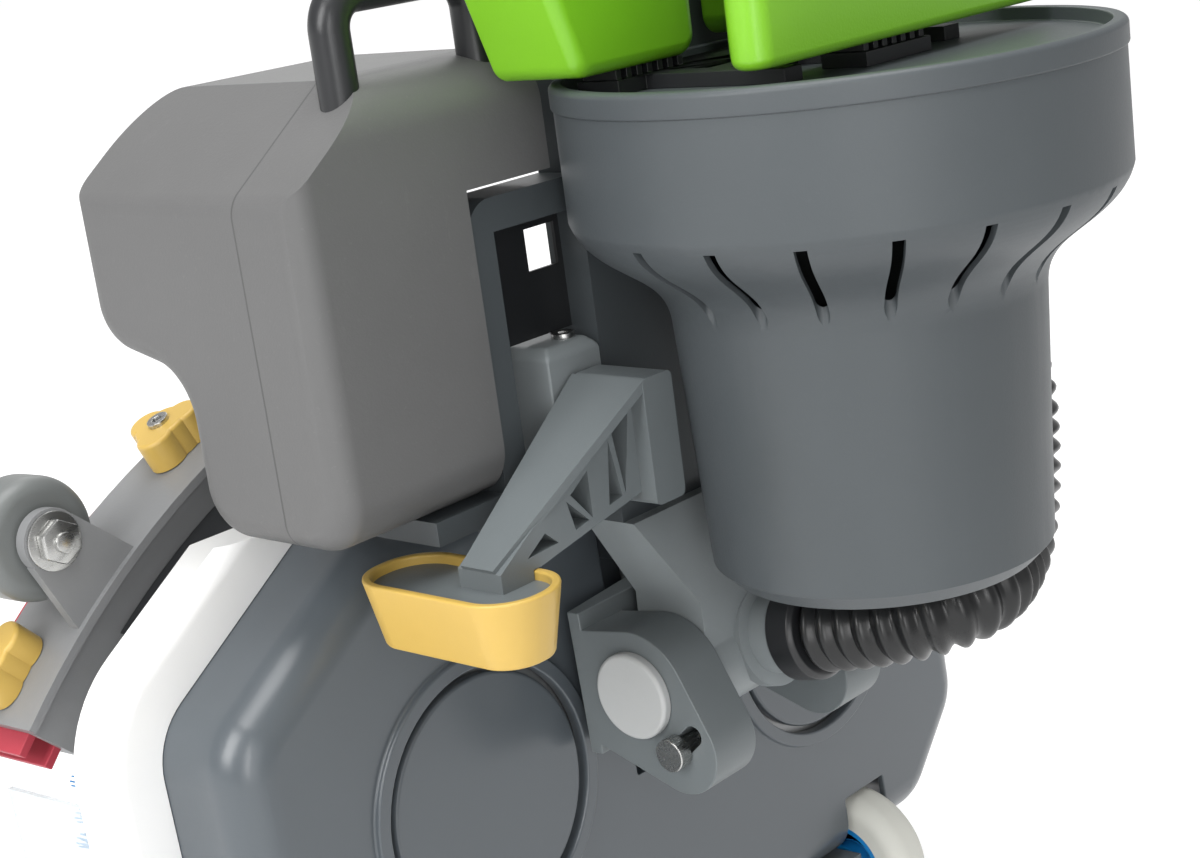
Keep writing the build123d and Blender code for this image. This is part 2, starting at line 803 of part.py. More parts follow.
with BuildPart(deck_plane) as roll_pin:
    with BuildSketch(deck_across(boss_front)):
        with Locations((0, -roll_height)):
            Circle(roll_pin_radius)
    extrude(amount=boss_rear + boss_length - boss_front)
keep(roll_pin, "roll_pin")

with BuildPart(deck_plane) as pivot_pin:
    with BuildSketch(deck_side(-ear_outer)):
        with Locations((pivot_rearward, pivot_height)):
            Circle(pivot_pin_radius)
    extrude(amount=2 * ear_outer)
keep(pivot_pin, "pivot_pin")

with BuildPart(deck_plane) as pivot_cap:
    with BuildSketch(deck_side(-ear_outer)):
        with Locations((pivot_rearward, pivot_height)):
            Circle(cap_radius)
    extrude(amount=-cap_thickness)
    fillet(pivot_cap.faces().sort_by(Axis.X)[0].edges(), radius=2)
keep(pivot_cap, "pivot_cap")

with BuildPart(deck_plane) as park_bolt:
    with BuildSketch(deck_side(-ear_outer - loose_fit)):
        with Locations((bolt_rearward, bolt_height)):
            Circle(bolt_radius)
    extrude(amount=loose_fit + ear_thickness + bolt_reach)
    with BuildSketch(deck_side(-ear_outer - loose_fit)):
        with Locations((bolt_rearward, bolt_height)):
            Circle(bolt_radius + 3)
    extrude(amount=-bolt_head_length)
keep(park_bolt, "park_bolt")

port_tilt = radians(hose_port_tilt)
port_plane = Plane(
    origin=column_plane.from_local_coords((hose_port_across, -hose_port_reach, hose_port_up)),
    x_dir=(1, 0, 0),
    z_dir=column_plane.z_dir * sin(port_tilt) - column_plane.y_dir * cos(port_tilt),
)

# column neck: barrel on the pivot, with a lug that stops against the park bolt, widening up to the frame
lug_angle = radians(slot_angle + 90 + lug_turn)
with BuildPart(column_plane) as column_neck:
    with BuildSketch(deck_side(-barrel_half)):
        with Locations((pivot_rearward, pivot_height)):
            Circle(barrel_radius)
    extrude(amount=2 * barrel_half)
    with BuildSketch(deck_side(-barrel_half)):
        with Locations((pivot_rearward, pivot_height)):
            with PolarLocations(bolt_arm / 2, 1, start_angle=degrees(lug_angle)):
                SlotOverall(bolt_arm + 2 * lug_radius, 2 * lug_radius)
    extrude(amount=bolt_reach + body_gap)
    with BuildSketch(column_level(0)):
        Rectangle(2 * barrel_half, 2 * barrel_radius - 8)
    with BuildSketch(column_level(barrel_radius + 12)):
        Rectangle(2 * barrel_half, 2 * barrel_radius - 10)
    loft()
    with BuildSketch(column_level(barrel_radius + 12)):
        Rectangle(2 * barrel_half, 2 * barrel_radius - 10)
    with BuildSketch(column_level(frame_bottom)):
        with Locations((0, frame_thickness / 2 - 2)):
            Rectangle(2 * frame_half, frame_thickness + 8)
    loft()
    # flanged port that the suction hose plugs on to
    with BuildSketch(port_plane):
        Circle(port_radius)
    extrude(amount=-hose_port_reach + pivot_pin_radius)
    with BuildSketch(port_plane.offset(-2 * port_flange_thickness)):
        Circle(port_flange_radius)
    extrude(amount=-port_flange_thickness)
    with BuildSketch(port_plane):
        Circle(hose_bore)
    extrude(amount=-hose_port_reach + pivot_pin_radius + deck_wall, mode=Mode.SUBTRACT)
    with BuildSketch(deck_side(-barrel_half)):
        with Locations((pivot_rearward, pivot_height)):
            Circle(pivot_pin_radius + running_fit)
    extrude(amount=2 * barrel_half, mode=Mode.SUBTRACT)
keep(column_neck, "column_neck")

# column frame: back plate, two C-shaped hangers with tank shelves, and the tube's socket
rib_width = 8.0
rib_depth = 12.0
rib_bottom = 128.0
rib_top = 204.0
shelf_reach = 40.0
with BuildPart(column_plane) as column_frame:
    with BuildSketch(column_front(0)):
        with Locations((0, (frame_bottom + frame_top) / 2)):
            Rectangle(2 * frame_half, frame_top - frame_bottom)
    extrude(amount=-frame_thickness)
    with BuildSketch(column_front(0)):
        with Locations((0, (loop_bottom + loop_top) / 2)):
            RectangleRounded(2 * loop_outer, loop_top - loop_bottom, loop_band)
        for side, name in sides:
            with Locations((side * (frame_half + loop_outer - loop_band) / 2, (loop_bottom + loop_top) / 2)):
                Rectangle(
                    loop_outer - loop_band - frame_half,
                    loop_top - loop_bottom - 2 * loop_band,
                    mode=Mode.SUBTRACT,
                )
    extrude(amount=-frame_thickness)
    # ribs that key the tanks sideways, and shelves that carry them
    for side, name in sides:
        with BuildSketch(column_level(rib_bottom)):
            with Locations((side * (loop_outer + rib_width / 2 - 1), frame_thickness / 2)):
                Rectangle(rib_width + 2, rib_depth)
        extrude(amount=rib_top - rib_bottom)
        with BuildSketch(column_level(tank_bottom - 10)):
            with Locations((side * (loop_outer + shelf_reach / 2 - 6), frame_thickness / 2 + 8)):
                Rectangle(shelf_reach + 12, frame_thickness + 16)
        extrude(amount=10)
    # port plate in the left hanger, where the suction hose ends, and its duct to the tank
    with BuildSketch(column_front(0)):
        with Locations(((frame_half + loop_outer) / 2, hose_top_up)):
            Rectangle(loop_outer - frame_half, 2 * port_flange_radius)
    extrude(amount=-frame_thickness)
    with BuildSketch(column_front(frame_thickness)):
        with Locations(((frame_half + loop_outer) / 2, hose_top_up)):
            RectangleRounded(loop_outer - frame_half, 2 * port_flange_radius, tank_edge)
    extrude(amount=-frame_thickness)
    with BuildSketch(column_front(0)):
        with Locations((hose_top_across, hose_top_up)):
            Circle(hose_bore)
    extrude(amount=-frame_thickness - port_radius, mode=Mode.SUBTRACT)
    with BuildSketch(column_level(frame_top - 30)):
        with Locations((0, frame_thickness / 2)):
            Circle(socket_radius)
    extrude(amount=socket_height)
    with BuildSketch(column_level(tube_bottom)):
        with Locations((0, frame_thickness / 2)):
            Circle(tube_radius)
    extrude(amount=frame_top + socket_height - tube_bottom, mode=Mode.SUBTRACT)
keep(column_frame, "column_frame")

with BuildPart(column_plane) as column_tube:
    with BuildSketch(column_level(tube_bottom)):
        with Locations((0, frame_thickness / 2)):
            Circle(tube_radius)
            Circle(tube_radius - tube_wall, mode=Mode.SUBTRACT)
    extrude(amount=tube_top - tube_bottom)
keep(column_tube, "column_tube")

# vacuum bucket: a revolved shell with a slotted flare, cut flat where it meets the frame
bucket_turn = Axis(column_plane.from_local_coords((0, -bucket_axis, 0)), column_plane.z_dir)
bucket_section = column_side(0)


def bucket_profile(inset, bottom, top):
    with BuildSketch(bucket_section) as profile:
        with BuildLine():
            foot = bucket_foot_radius - inset
            waist = bucket_waist_radius - inset
            wide = bucket_rim_radius - inset
            flare = Bezier(
                (-bucket_axis - waist, bucket_waist),
                (-bucket_axis - waist, bucket_waist + 26),
                (-bucket_axis - wide + 6, bucket_shoulder - 22),
                (-bucket_axis - wide, bucket_shoulder),
            )
            Polyline(
                flare @ 1,
                (-bucket_axis - wide, top),
                (-bucket_axis, top),
                (-bucket_axis, bottom),
                (-bucket_axis - foot + bucket_chamfer, bottom),
                (-bucket_axis - foot, bottom + bucket_chamfer),
                flare @ 0,
            )
        make_face()
    return profile.sketch


with BuildPart(column_plane) as bucket:
    revolve(bucket_profile(0, bucket_bottom, bucket_top), axis=bucket_turn)
    revolve(
        bucket_profile(bucket_wall, bucket_bottom + bucket_wall, bucket_top),
        axis=bucket_turn,
        mode=Mode.SUBTRACT,
    )
    with BuildSketch(column_level(bucket_bottom)):
        with Locations((0, frame_thickness)):
            Rectangle(3 * bucket_rim_radius, 2 * frame_thickness)
    extrude(amount=bucket_top - bucket_bottom, mode=Mode.SUBTRACT)
    # flat back wall that bolts to the frame
    back_half = sqrt(bucket_rim_radius**2 - bucket_axis**2)
    with BuildSketch(column_front(0)):
        with Locations((0, (bucket_shoulder + bucket_top) / 2)):
            Rectangle(2 * back_half - 2, bucket_top - bucket_shoulder)
    extrude(amount=bucket_wall)
    for number in range(slot_count):
        turn = (number - (slot_count - 1) / 2) * slot_pitch
        slot_plane = Plane(
            origin=column_plane.from_local_coords((0, -bucket_axis, slot_bottom)),
            x_dir=column_plane.x_dir * cos(radians(turn)) + column_plane.y_dir * sin(radians(turn)),
            z_dir=column_plane.z_dir,
        )
        with BuildSketch(slot_plane):
            with Locations((0, -bucket_rim_radius + 6)):
                SlotOverall(60, slot_width, rotation=90)
        extrude(amount=slot_top - slot_bottom, mode=Mode.SUBTRACT)
keep(bucket, "bucket")

with BuildPart(column_plane) as bucket_rim:
    with BuildSketch(column_level(bucket_top)):
        with Locations((0, -bucket_axis)):
            Circle(bucket_rim_radius + 1)
        with Locations((0, frame_thickness)):
            Rectangle(3 * bucket_rim_radius, 2 * frame_thickness, mode=Mode.SUBTRACT)
    extrude(amount=rim_collar_height)
    chamfer(bucket_rim.faces().sort_by(column_axis)[-1].edges().filter_by(GeomType.CIRCLE), length=1.6)
    with BuildSketch(column_level(bucket_top + rim_floor)) as tray:
        with Locations((0, -bucket_axis)):
            Circle(bucket_rim_radius - rim_collar_wall)
        with Locations((0, frame_thickness - rim_collar_wall)):
            Rectangle(3 * bucket_rim_radius, 2 * frame_thickness, mode=Mode.SUBTRACT)
    extrude(amount=rim_collar_height, mode=Mode.SUBTRACT)
keep(bucket_rim, "bucket_rim")

vacuum_foot = bucket_bottom + bucket_wall
with BuildPart(column_plane) as vacuum_motor:
    with BuildSketch(column_level(vacuum_foot)):
        with Locations((0, -bucket_axis)):
            Circle(vacuum_radius)
    extrude(amount=vacuum_height)
    with BuildSketch(column_level(vacuum_foot + 30)):
        with Locations((0, -bucket_axis)):
            with PolarLocations(vacuum_radius, 16):
                Rectangle(6, 5)
    extrude(amount=36, mode=Mode.SUBTRACT)
    with BuildSketch(column_level(vacuum_foot + vacuum_height)):
        with Locations((0, -bucket_axis)):
            Circle(fan_shaft_radius)
    extrude(amount=fan_height + 2 * body_gap)
keep(vacuum_motor, "vacuum_motor")

fan_blades = 9
with BuildPart(column_plane) as vacuum_fan:
    with BuildSketch(column_level(vacuum_foot + vacuum_height + body_gap)):
        with Locations((0, -bucket_axis)):
            Circle(fan_radius)
    extrude(amount=3)
    with BuildSketch(column_level(vacuum_foot + vacuum_height + body_gap)):
        with Locations((0, -bucket_axis)):
            Circle(fan_shaft_radius + 6)
            with PolarLocations((fan_radius + fan_shaft_radius) / 2 + 2, fan_blades):
                Rectangle(fan_radius - fan_shaft_radius - 8, 2.5, rotation=24)
    extrude(amount=fan_height)
    with BuildSketch(column_level(vacuum_foot + vacuum_height)):
        with Locations((0, -bucket_axis)):
            Circle(fan_shaft_radius + running_fit)
    extrude(amount=2 * fan_height, mode=Mode.SUBTRACT)
keep(vacuum_fan, "vacuum_fan")

# battery contacts: ribbed sockets between the tray and the packs
contact_rear = -side_battery_face + contact_depth / 2 + 2 * body_gap
contact_height = battery_bottom - bucket_top - rim_floor
front_middle = -front_battery_face + front_battery_depth / 2
side_across = (side_battery_inner + side_battery_outer) / 2
contact_places = ((0, front_middle), (-contact_across, contact_rear), (contact_across, contact_rear))
with BuildPart(column_plane) as battery_contacts:
    with BuildSketch(column_level(bucket_top + rim_floor)):
        with Locations(*contact_places):
            Rectangle(contact_width, contact_depth)
        with Locations((0, (front_middle + contact_rear) / 2)):
            Rectangle(2 * contact_across, contact_depth / 2)
            Rectangle(contact_depth / 2, contact_rear - front_middle)
    extrude(amount=contact_height - 4)
    with BuildSketch(column_level(bucket_top + rim_floor)):
        with Locations(*contact_places):
            with GridLocations(contact_width / contact_ribs, 1, contact_ribs, 1):
                Rectangle(contact_width / contact_ribs / 2, contact_depth - 2 * body_gap)
    extrude(amount=contact_height)
    with BuildSketch(column_level(bucket_top + rim_floor)):
        for across in (-contact_across, contact_across):
            with Locations((across, (front_middle + contact_rear) / 2)):
                Rectangle(contact_depth / 2, contact_rear - front_middle)
    extrude(amount=contact_height - 4)
keep(battery_contacts, "battery_contacts")

# batteries: a wide front pack with canted ends, and a pack on either side of the tube
grip_slot = 70.0
with BuildPart(column_plane) as battery_front:
    with BuildSketch(column_level(battery_bottom)) as front_plan:
        with BuildLine():
            Polyline(
                (-front_battery_half, -front_battery_face),
                (front_battery_half, -front_battery_face),
                (front_battery_half - front_battery_taper, -front_battery_face + front_battery_depth),
                (-front_battery_half + front_battery_taper, -front_battery_face + front_battery_depth),
                close=True,
            )
        make_face()
        fillet(front_plan.vertices(), radius=battery_corner)
    extrude(amount=battery_height)
    fillet(battery_front.faces().sort_by(column_axis)[0].edges(), radius=4)
    fillet(battery_front.faces().sort_by(column_axis)[-1].edges(), radius=4)
    with BuildSketch(column_front(-front_battery_face + front_battery_depth)):
        with Locations((0, battery_bottom + battery_height - 28)):
            SlotOverall(grip_slot, 22)
    extrude(amount=front_battery_depth, mode=Mode.SUBTRACT)
keep(battery_front, "battery_front")

for side, name in sides:
    with BuildPart(column_plane) as battery_side:
        with BuildSketch(column_front(-side_battery_face)) as side_view:
            with BuildLine():
                battery_wide = side * (side_battery_outer + side_battery_flare)
                Polyline(
                    (side * side_battery_inner, battery_bottom),
                    (side * side_battery_outer, battery_bottom),
                    (battery_wide, battery_bottom + side_battery_flare_height),
                    (battery_wide, battery_bottom + battery_height),
                    (side * side_battery_inner, battery_bottom + battery_height),
                    close=True,
                )
            make_face()
            fillet(side_view.vertices(), radius=battery_corner)
        extrude(amount=-side_battery_depth)
        forwards = Axis(column_plane.origin, -column_plane.y_dir)
        fillet(battery_side.faces().sort_by(forwards)[-1].edges(), radius=6)
        with BuildSketch(column_front(0)):
            slot_across = side * (side_across + side_battery_flare / 2)
            with Locations((slot_across, battery_bottom + battery_height - 26)):
                SlotOverall(46, 18)
        extrude(amount=side_battery_face + 1, mode=Mode.SUBTRACT)
    keep(battery_side, f"battery_{name}")

# tanks: saddle tanks that hang beside the column, stepped out at the rear over the squeegee
for side, name in sides:
    outwards = Axis((0, 0, 0), (side, 0, 0))
    with BuildPart(column_plane) as tank:
        with BuildSketch(column_side(side * tank_crown_inner)) as tank_profile:
            with BuildLine():
                Polyline(
                    (-tank_front, tank_bottom),
                    (tank_low_rear, tank_bottom),
                    (tank_low_rear, tank_step),
                    (tank_high_rear, tank_step + 12),
                    (tank_high_rear, tank_top),
                    (-tank_front, tank_top),
                    close=True,
                )
            make_face()
            fillet(tank_profile.vertices(), radius=tank_corner)
        extrude(amount=side * (tank_outer - tank_crown_inner))
        with BuildSketch(column_front(tank_high_rear + 1)) as tank_end:
            with BuildLine():
                Polyline(
                    (side * tank_inner, tank_bottom),
                    (side * tank_outer, tank_bottom),
                    (side * tank_outer, tank_shoulder),
                    (side * tank_crown_half, tank_top),
                    (side * tank_crown_inner, tank_top),
                    (side * tank_crown_inner, tank_crown_bottom),
                    (side * tank_inner, tank_crown_bottom),
                    close=True,
                )
            make_face()
        extrude(amount=tank_high_rear + tank_front + 2, mode=Mode.INTERSECT)
        fillet(tank.faces().sort_by(outwards)[-1].edges(), radius=tank_edge)
        # keyway that slides down over the hanger's rib, and sockets for the handle
        with BuildSketch(column_level(tank_bottom)):
            with Locations((side * (loop_outer + rib_width / 2 + loose_fit), frame_thickness / 2)):
                Rectangle(rib_width + 2 * loose_fit, rib_depth + 2 * loose_fit)
        extrude(amount=rib_top - tank_bottom + body_gap, mode=Mode.SUBTRACT)
        with BuildSketch(column_level(tank_top - handle_socket)):
            with Locations((side * handle_inner, handle_rearward), (side * handle_outer, handle_rearward)):
                Circle(handle_bar_radius)
        extrude(amount=2 * handle_socket, mode=Mode.SUBTRACT)
    keep(tank, f"tank_{name}")

    with BuildPart(column_plane) as tank_handle:
        with BuildLine(column_front(handle_rearward)) as bail:
            FilletPolyline(
                (side * handle_inner, tank_top - handle_socket),
                (side * handle_inner, tank_top + handle_rise),
                (side * handle_outer, tank_top + handle_rise),
                (side * handle_outer, tank_top - handle_socket),
                radius=handle_bend,
            )
        with BuildSketch(Plane(bail.line @ 0, x_dir=(1, 0, 0), z_dir=bail.line % 0)):
            Circle(handle_bar_radius)
        sweep()
    keep(tank_handle, f"tank_handle_{name}")

# suction hose: ribbed, from the neck's port under the bucket and up its far side to the frame
hose_start = port_plane.from_local_coords((0, 0, cuff_length))
hose_corner = port_plane.from_local_coords((0, 0, cuff_length + hose_first_run))
hose_route = (
    hose_start,
    hose_corner,
    column_plane.from_local_coords((hose_top_across, -hose_far_reach, hose_far_up)),
    column_plane.from_local_coords((hose_top_across, -hose_far_reach, hose_top_up)),
    column_plane.from_local_coords((hose_top_across, -cuff_length, hose_top_up)),
)
with BuildLine() as hose_line:
    FilletPolyline(*hose_route, radius=hose_bends)
hose_path = hose_line.wire()
rib_total = round(hose_path.length / rib_pitch)
rib_step = hose_path.length / rib_total
rib_shape = ((0.0, hose_valley), (0.3, hose_radius), (0.7, hose_radius), (0.98, hose_valley))
steady_line = Vector(1, 1, -1)
print("suction hose:", rib_total, "ribs, bends of", hose_bends, "mm, length", round(hose_path.length, 1))


def hose_station(distance):
    place = hose_path.position_at(distance, position_mode=PositionMode.LENGTH)
    along = hose_path.tangent_at(distance, position_mode=PositionMode.LENGTH)
    across = steady_line - along * steady_line.dot(along)
    return Plane(origin=place, x_dir=across, z_dir=along)


with BuildPart() as suction_hose:
    for rib in range(rib_total):
        for share, radius in rib_shape:
            with BuildSketch(hose_station((rib + share) * rib_step)):
                Circle(radius)
    with BuildSketch(hose_station(hose_path.length)):
        Circle(hose_valley)
    loft(ruled=True)
    with BuildSketch(hose_station(0)):
        Circle(hose_bore)
    sweep(path=hose_path, mode=Mode.SUBTRACT)
keep(suction_hose, "suction_hose")

top_port = column_front(0)
for name, cuff_plane in (
    ("lower", port_plane),
    ("upper", Plane(
        origin=column_plane.from_local_coords((hose_top_across, 0, hose_top_up)),
        x_dir=(1, 0, 0),
        z_dir=top_port.z_dir,
    )),
):
    with BuildPart(cuff_plane) as hose_cuff:
        with BuildSketch(cuff_plane):
            Circle(cuff_radius)
        extrude(amount=cuff_length)
        chamfer(hose_cuff.edges(), length=2)
        with BuildSketch(cuff_plane):
            Circle(hose_bore)
        extrude(amount=cuff_length, mode=Mode.SUBTRACT)
    keep(hose_cuff, f"hose_cuff_{name}")

# foot pedal: a truss arm that hinges on a block in the right hanger, and draws the park bolt
block_bottom = loop_bottom + loop_band
with BuildPart(column_plane) as pedal_block:
    with BuildSketch(column_front(block_depth - body_gap)):
        with Locations((-block_across, (block_bottom + block_top) / 2)):
            Rectangle(2 * block_half, block_top - block_bottom)
    extrude(amount=block_depth)
    chamfer(pedal_block.faces().sort_by(column_axis)[-1].edges(), length=4)
    with BuildSketch(column_front(-2 * body_gap)):
        with Locations((-head_across, pedal_pin_height)):
            Circle(pedal_pin_radius + running_fit)
    extrude(amount=-block_depth, mode=Mode.SUBTRACT)
keep(pedal_block, "pedal_block")

head_inner = -head_across + head_half_width
head_outer = -head_across - head_half_width
plate_level = pad_top - pad_lip
arm_top_start = (head_outer + body_gap, head_top - body_gap)
arm_top_end = (-pad_across, pad_top + pad_lip)
arm_low_start = (head_outer + body_gap, head_bottom + 3 * body_gap)
arm_low_end = (-pad_across + pad_half_width, pad_top + loose_fit)
plate_inner = -pad_across + pad_half_width - pad_lip - loose_fit


def arm_point(start, end, share, shift):
    across = start[0] + (end[0] - start[0]) * share
    return (across, start[1] + (end[1] - start[1]) * share + shift)


with BuildPart(column_plane) as foot_pedal:
    with BuildSketch(column_front(-head_rear)):
        with Locations((-head_across, (head_bottom + head_top) / 2)):
            RectangleRounded(2 * head_half_width, head_top - head_bottom, 3)
    extrude(amount=head_front - head_rear)
    # the web, with triangular windows that leave a truss
    with BuildSketch(column_front(-arm_rear)):
        with BuildLine():
            Polyline(
                arm_top_start,
                arm_top_end,
                (-pad_across, plate_level),
                (plate_inner, plate_level),
                (plate_inner, pad_top + loose_fit),
                arm_low_end,
                arm_low_start,
                close=True,
            )
        make_face()
        for bay in range(arm_bays):
            near = (bay + 0.3) / (arm_bays + 1.2)
            far = (bay + 1.1) / (arm_bays + 1.2)
            high_near = arm_point(arm_top_start, arm_top_end, near, -2 * arm_web)
            high_far = arm_point(arm_top_start, arm_top_end, far, -2 * arm_web)
            low_near = arm_point(arm_low_start, arm_low_end, near, arm_web)
            low_far = arm_point(arm_low_start, arm_low_end, far, arm_web)
            with BuildLine(mode=Mode.PRIVATE) as window:
                if bay % 2:
                    Polyline(high_near, low_near, low_far, close=True)
                else:
                    Polyline(high_near, low_far, high_far, close=True)
            make_face(window.edges(), mode=Mode.SUBTRACT)
    extrude(amount=arm_front - arm_rear)
    # top flange, wide at the head and narrow at the pad
    flange_line = Vector(arm_top_end[0] - arm_top_start[0], 0, arm_top_end[1] - arm_top_start[1])
    flange_normal = column_plane.x_dir * flange_line.X + column_plane.z_dir * flange_line.Z
    arm_middle = -(arm_front + arm_rear) / 2
    for place, width in ((arm_top_start, arm_front + arm_web), (arm_top_end, arm_front / 2)):
        flange_plane = Plane(
            origin=column_plane.from_local_coords((place[0], arm_middle, place[1])),
            x_dir=column_plane.y_dir,
            z_dir=flange_normal,
        )
        with BuildSketch(flange_plane):
            Rectangle(width, arm_web)
    loft()
    with BuildSketch(column_level(plate_level)):
        with Locations((-pad_across, -pad_forward)):
            RectangleRounded(
                2 * (pad_half_width - pad_lip),
                2 * (pad_half_length - pad_lip),
                pad_half_width - pad_lip - 1,
            )
    extrude(amount=-2 * pad_lip)
    with BuildSketch(column_front(-head_rear)):
        with Locations((-head_across, pedal_pin_height)):
            Circle(pedal_pin_radius)
    extrude(amount=-head_rear - block_depth + 2 * body_gap)
keep(foot_pedal, "foot_pedal")

with BuildPart(column_plane) as pedal_pad:
    for level, inset in ((pad_bottom, 6.0), (pad_top, 0.0)):
        with BuildSketch(column_level(level)):
            with Locations((-pad_across, -pad_forward)):
                RectangleRounded(
                    2 * (pad_half_width - inset),
                    2 * (pad_half_length - inset),
                    pad_half_width - inset - 1,
                )
    loft()
    with BuildSketch(column_level(plate_level - 2 * pad_lip)):
        with Locations((-pad_across, -pad_forward)):
            RectangleRounded(
                2 * (pad_half_width - pad_lip),
                2 * (pad_half_length - pad_lip),
                pad_half_width - pad_lip - 1,
            )
    extrude(amount=pad_top, mode=Mode.SUBTRACT)
keep(pedal_pad, "pedal_pad")

# handle: switch box on the tube, cross bar with two grips, trigger and power button
box_middle = frame_thickness / 2
trigger_across = head_box_half + trigger_pin_offset
with BuildPart(column_plane) as handle_head:
    with BuildSketch(column_level(head_box_bottom)):
        with Locations((0, box_middle)):
            RectangleRounded(2 * head_box_half, head_box_depth, tank_edge)
    extrude(amount=head_box_top - head_box_bottom)
    chamfer(handle_head.faces().sort_by(column_axis)[-1].edges(), length=6)
    with BuildSketch(column_side(-bar_half)):
        with Locations((box_middle, bar_height)):
            Circle(bar_radius)
    extrude(amount=2 * bar_half)
    # two lugs that hold the trigger's pin
    for shift in (-1, 1):
        lug_rearward = box_middle + shift * (trigger_width + trigger_lug + 2 * loose_fit) / 2
        with BuildSketch(column_front(lug_rearward + trigger_lug / 2)):
            with Locations((-trigger_across, trigger_pin_height)):
                Circle(2 * trigger_pin_radius)
            with Locations((-trigger_across + trigger_pin_offset / 2 + 2, trigger_pin_height)):
                Rectangle(trigger_pin_offset + 4, 4 * trigger_pin_radius)
        extrude(amount=trigger_lug)
    with BuildSketch(column_front(box_middle + trigger_width)):
        with Locations((-trigger_across, trigger_pin_height)):
            Circle(trigger_pin_radius + running_fit)
    extrude(amount=2 * trigger_width, mode=Mode.SUBTRACT)
    with BuildSketch(column_level(head_box_bottom)):
        with Locations((0, box_middle)):
            Circle(tube_radius)
    extrude(amount=tube_top - head_box_bottom, mode=Mode.SUBTRACT)
    with BuildSketch(column_level(head_box_top)):
        with Locations((0, box_middle)):
            Circle(button_radius + running_fit)
    extrude(amount=-3 * button_rise, mode=Mode.SUBTRACT)
keep(handle_head, "handle_head")

for side, name in sides:
    with BuildPart(column_plane) as grip:
        with BuildSketch(column_side(side * bar_half)):
            with Locations((box_middle, bar_height)):
                Circle(grip_radius)
        extrude(amount=-side * grip_length)
        fillet(grip.edges(), radius=4)
        with BuildSketch(column_side(side * bar_half)):
            with Locations((box_middle, bar_height)):
                Circle(bar_radius)
        extrude(amount=-side * grip_length, mode=Mode.SUBTRACT)
    keep(grip, f"grip_{name}")

with BuildPart(column_plane) as trigger:
    with BuildSketch(column_front(box_middle + trigger_width / 2)) as lever:
        with Locations((-trigger_across, trigger_pin_height)):
            Circle(2 * trigger_pin_radius)
        with Locations((-trigger_across - trigger_length, trigger_pin_height - trigger_drop)):
            Circle(1.3 * trigger_pin_radius)
        make_hull()
    extrude(amount=trigger_width)
    with BuildSketch(column_front(box_middle + trigger_width / 2 + trigger_lug)):
        with Locations((-trigger_across, trigger_pin_height)):
            Circle(trigger_pin_radius)
    extrude(amount=trigger_width + 2 * trigger_lug)
keep(trigger, "trigger")

with BuildPart(column_plane) as power_button:
    with BuildSketch(column_level(head_box_top - button_rise)):
        with Locations((0, box_middle)):
            Circle(button_radius)
    extrude(amount=2 * button_rise)
    fillet(power_button.faces().sort_by(column_axis)[-1].edges(), radius=1.5)
keep(power_button, "power_button")
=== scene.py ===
import json
import math
import random

import bpy
from mathutils import Matrix, Vector

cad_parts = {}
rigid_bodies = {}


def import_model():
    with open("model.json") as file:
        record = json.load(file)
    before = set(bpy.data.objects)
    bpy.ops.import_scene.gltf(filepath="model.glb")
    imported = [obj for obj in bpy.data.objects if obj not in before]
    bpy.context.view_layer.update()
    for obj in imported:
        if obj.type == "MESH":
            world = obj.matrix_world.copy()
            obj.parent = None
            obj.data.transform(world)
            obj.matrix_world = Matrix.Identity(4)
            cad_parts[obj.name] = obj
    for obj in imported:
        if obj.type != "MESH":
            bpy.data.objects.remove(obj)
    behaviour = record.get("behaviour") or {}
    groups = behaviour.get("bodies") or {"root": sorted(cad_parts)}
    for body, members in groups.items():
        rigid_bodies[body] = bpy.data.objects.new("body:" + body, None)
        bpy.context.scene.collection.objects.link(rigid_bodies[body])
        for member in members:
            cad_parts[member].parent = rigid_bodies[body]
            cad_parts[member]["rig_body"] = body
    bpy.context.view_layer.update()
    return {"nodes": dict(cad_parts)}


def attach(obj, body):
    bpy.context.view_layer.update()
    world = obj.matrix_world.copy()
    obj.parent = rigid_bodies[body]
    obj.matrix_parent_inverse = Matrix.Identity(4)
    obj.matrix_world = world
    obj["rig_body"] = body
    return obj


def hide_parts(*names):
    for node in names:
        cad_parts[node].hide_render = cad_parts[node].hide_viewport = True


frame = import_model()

nodes = frame["nodes"]
scene = bpy.context.scene
random.seed(7)
sides = {"right": -1, "left": 1}

# the machine's two leaning frames, repeated from the part's source, in metres
stance = {
    "deckLean": math.radians(13.0),
    "columnLean": math.radians(10.0),
    "deckCentre": Vector((0.0, 0.004, 0.187881)),
    "pivot": (0.033, 0.046),
}


def leaned(lean, across, rearward, up):
    sine, cosine = math.sin(lean), math.cos(lean)
    return Vector((across, rearward * cosine + up * sine, up * cosine - rearward * sine))


def deckPoint(across, rearward, out):
    # the deck is folded up, so its rear edge is at the top and its outside faces the front
    return stance["deckCentre"] + leaned(stance["deckLean"], across, -out, rearward)


def columnPoint(across, rearward, up):
    return deckPoint(0.0, *stance["pivot"]) + leaned(stance["columnLean"], across, rearward, up)


deckRearwards = leaned(stance["deckLean"], 0, 0, 1)
deckOutwards = leaned(stance["deckLean"], 0, -1, 0)
columnRearwards = leaned(stance["columnLean"], 0, 1, 0)
columnUpwards = leaned(stance["columnLean"], 0, 0, 1)


def aimed(direction):
    # the turn of a camera or lamp, which looks along its own -Z
    return Vector(direction).to_track_quat("-Z", "Y").to_euler()


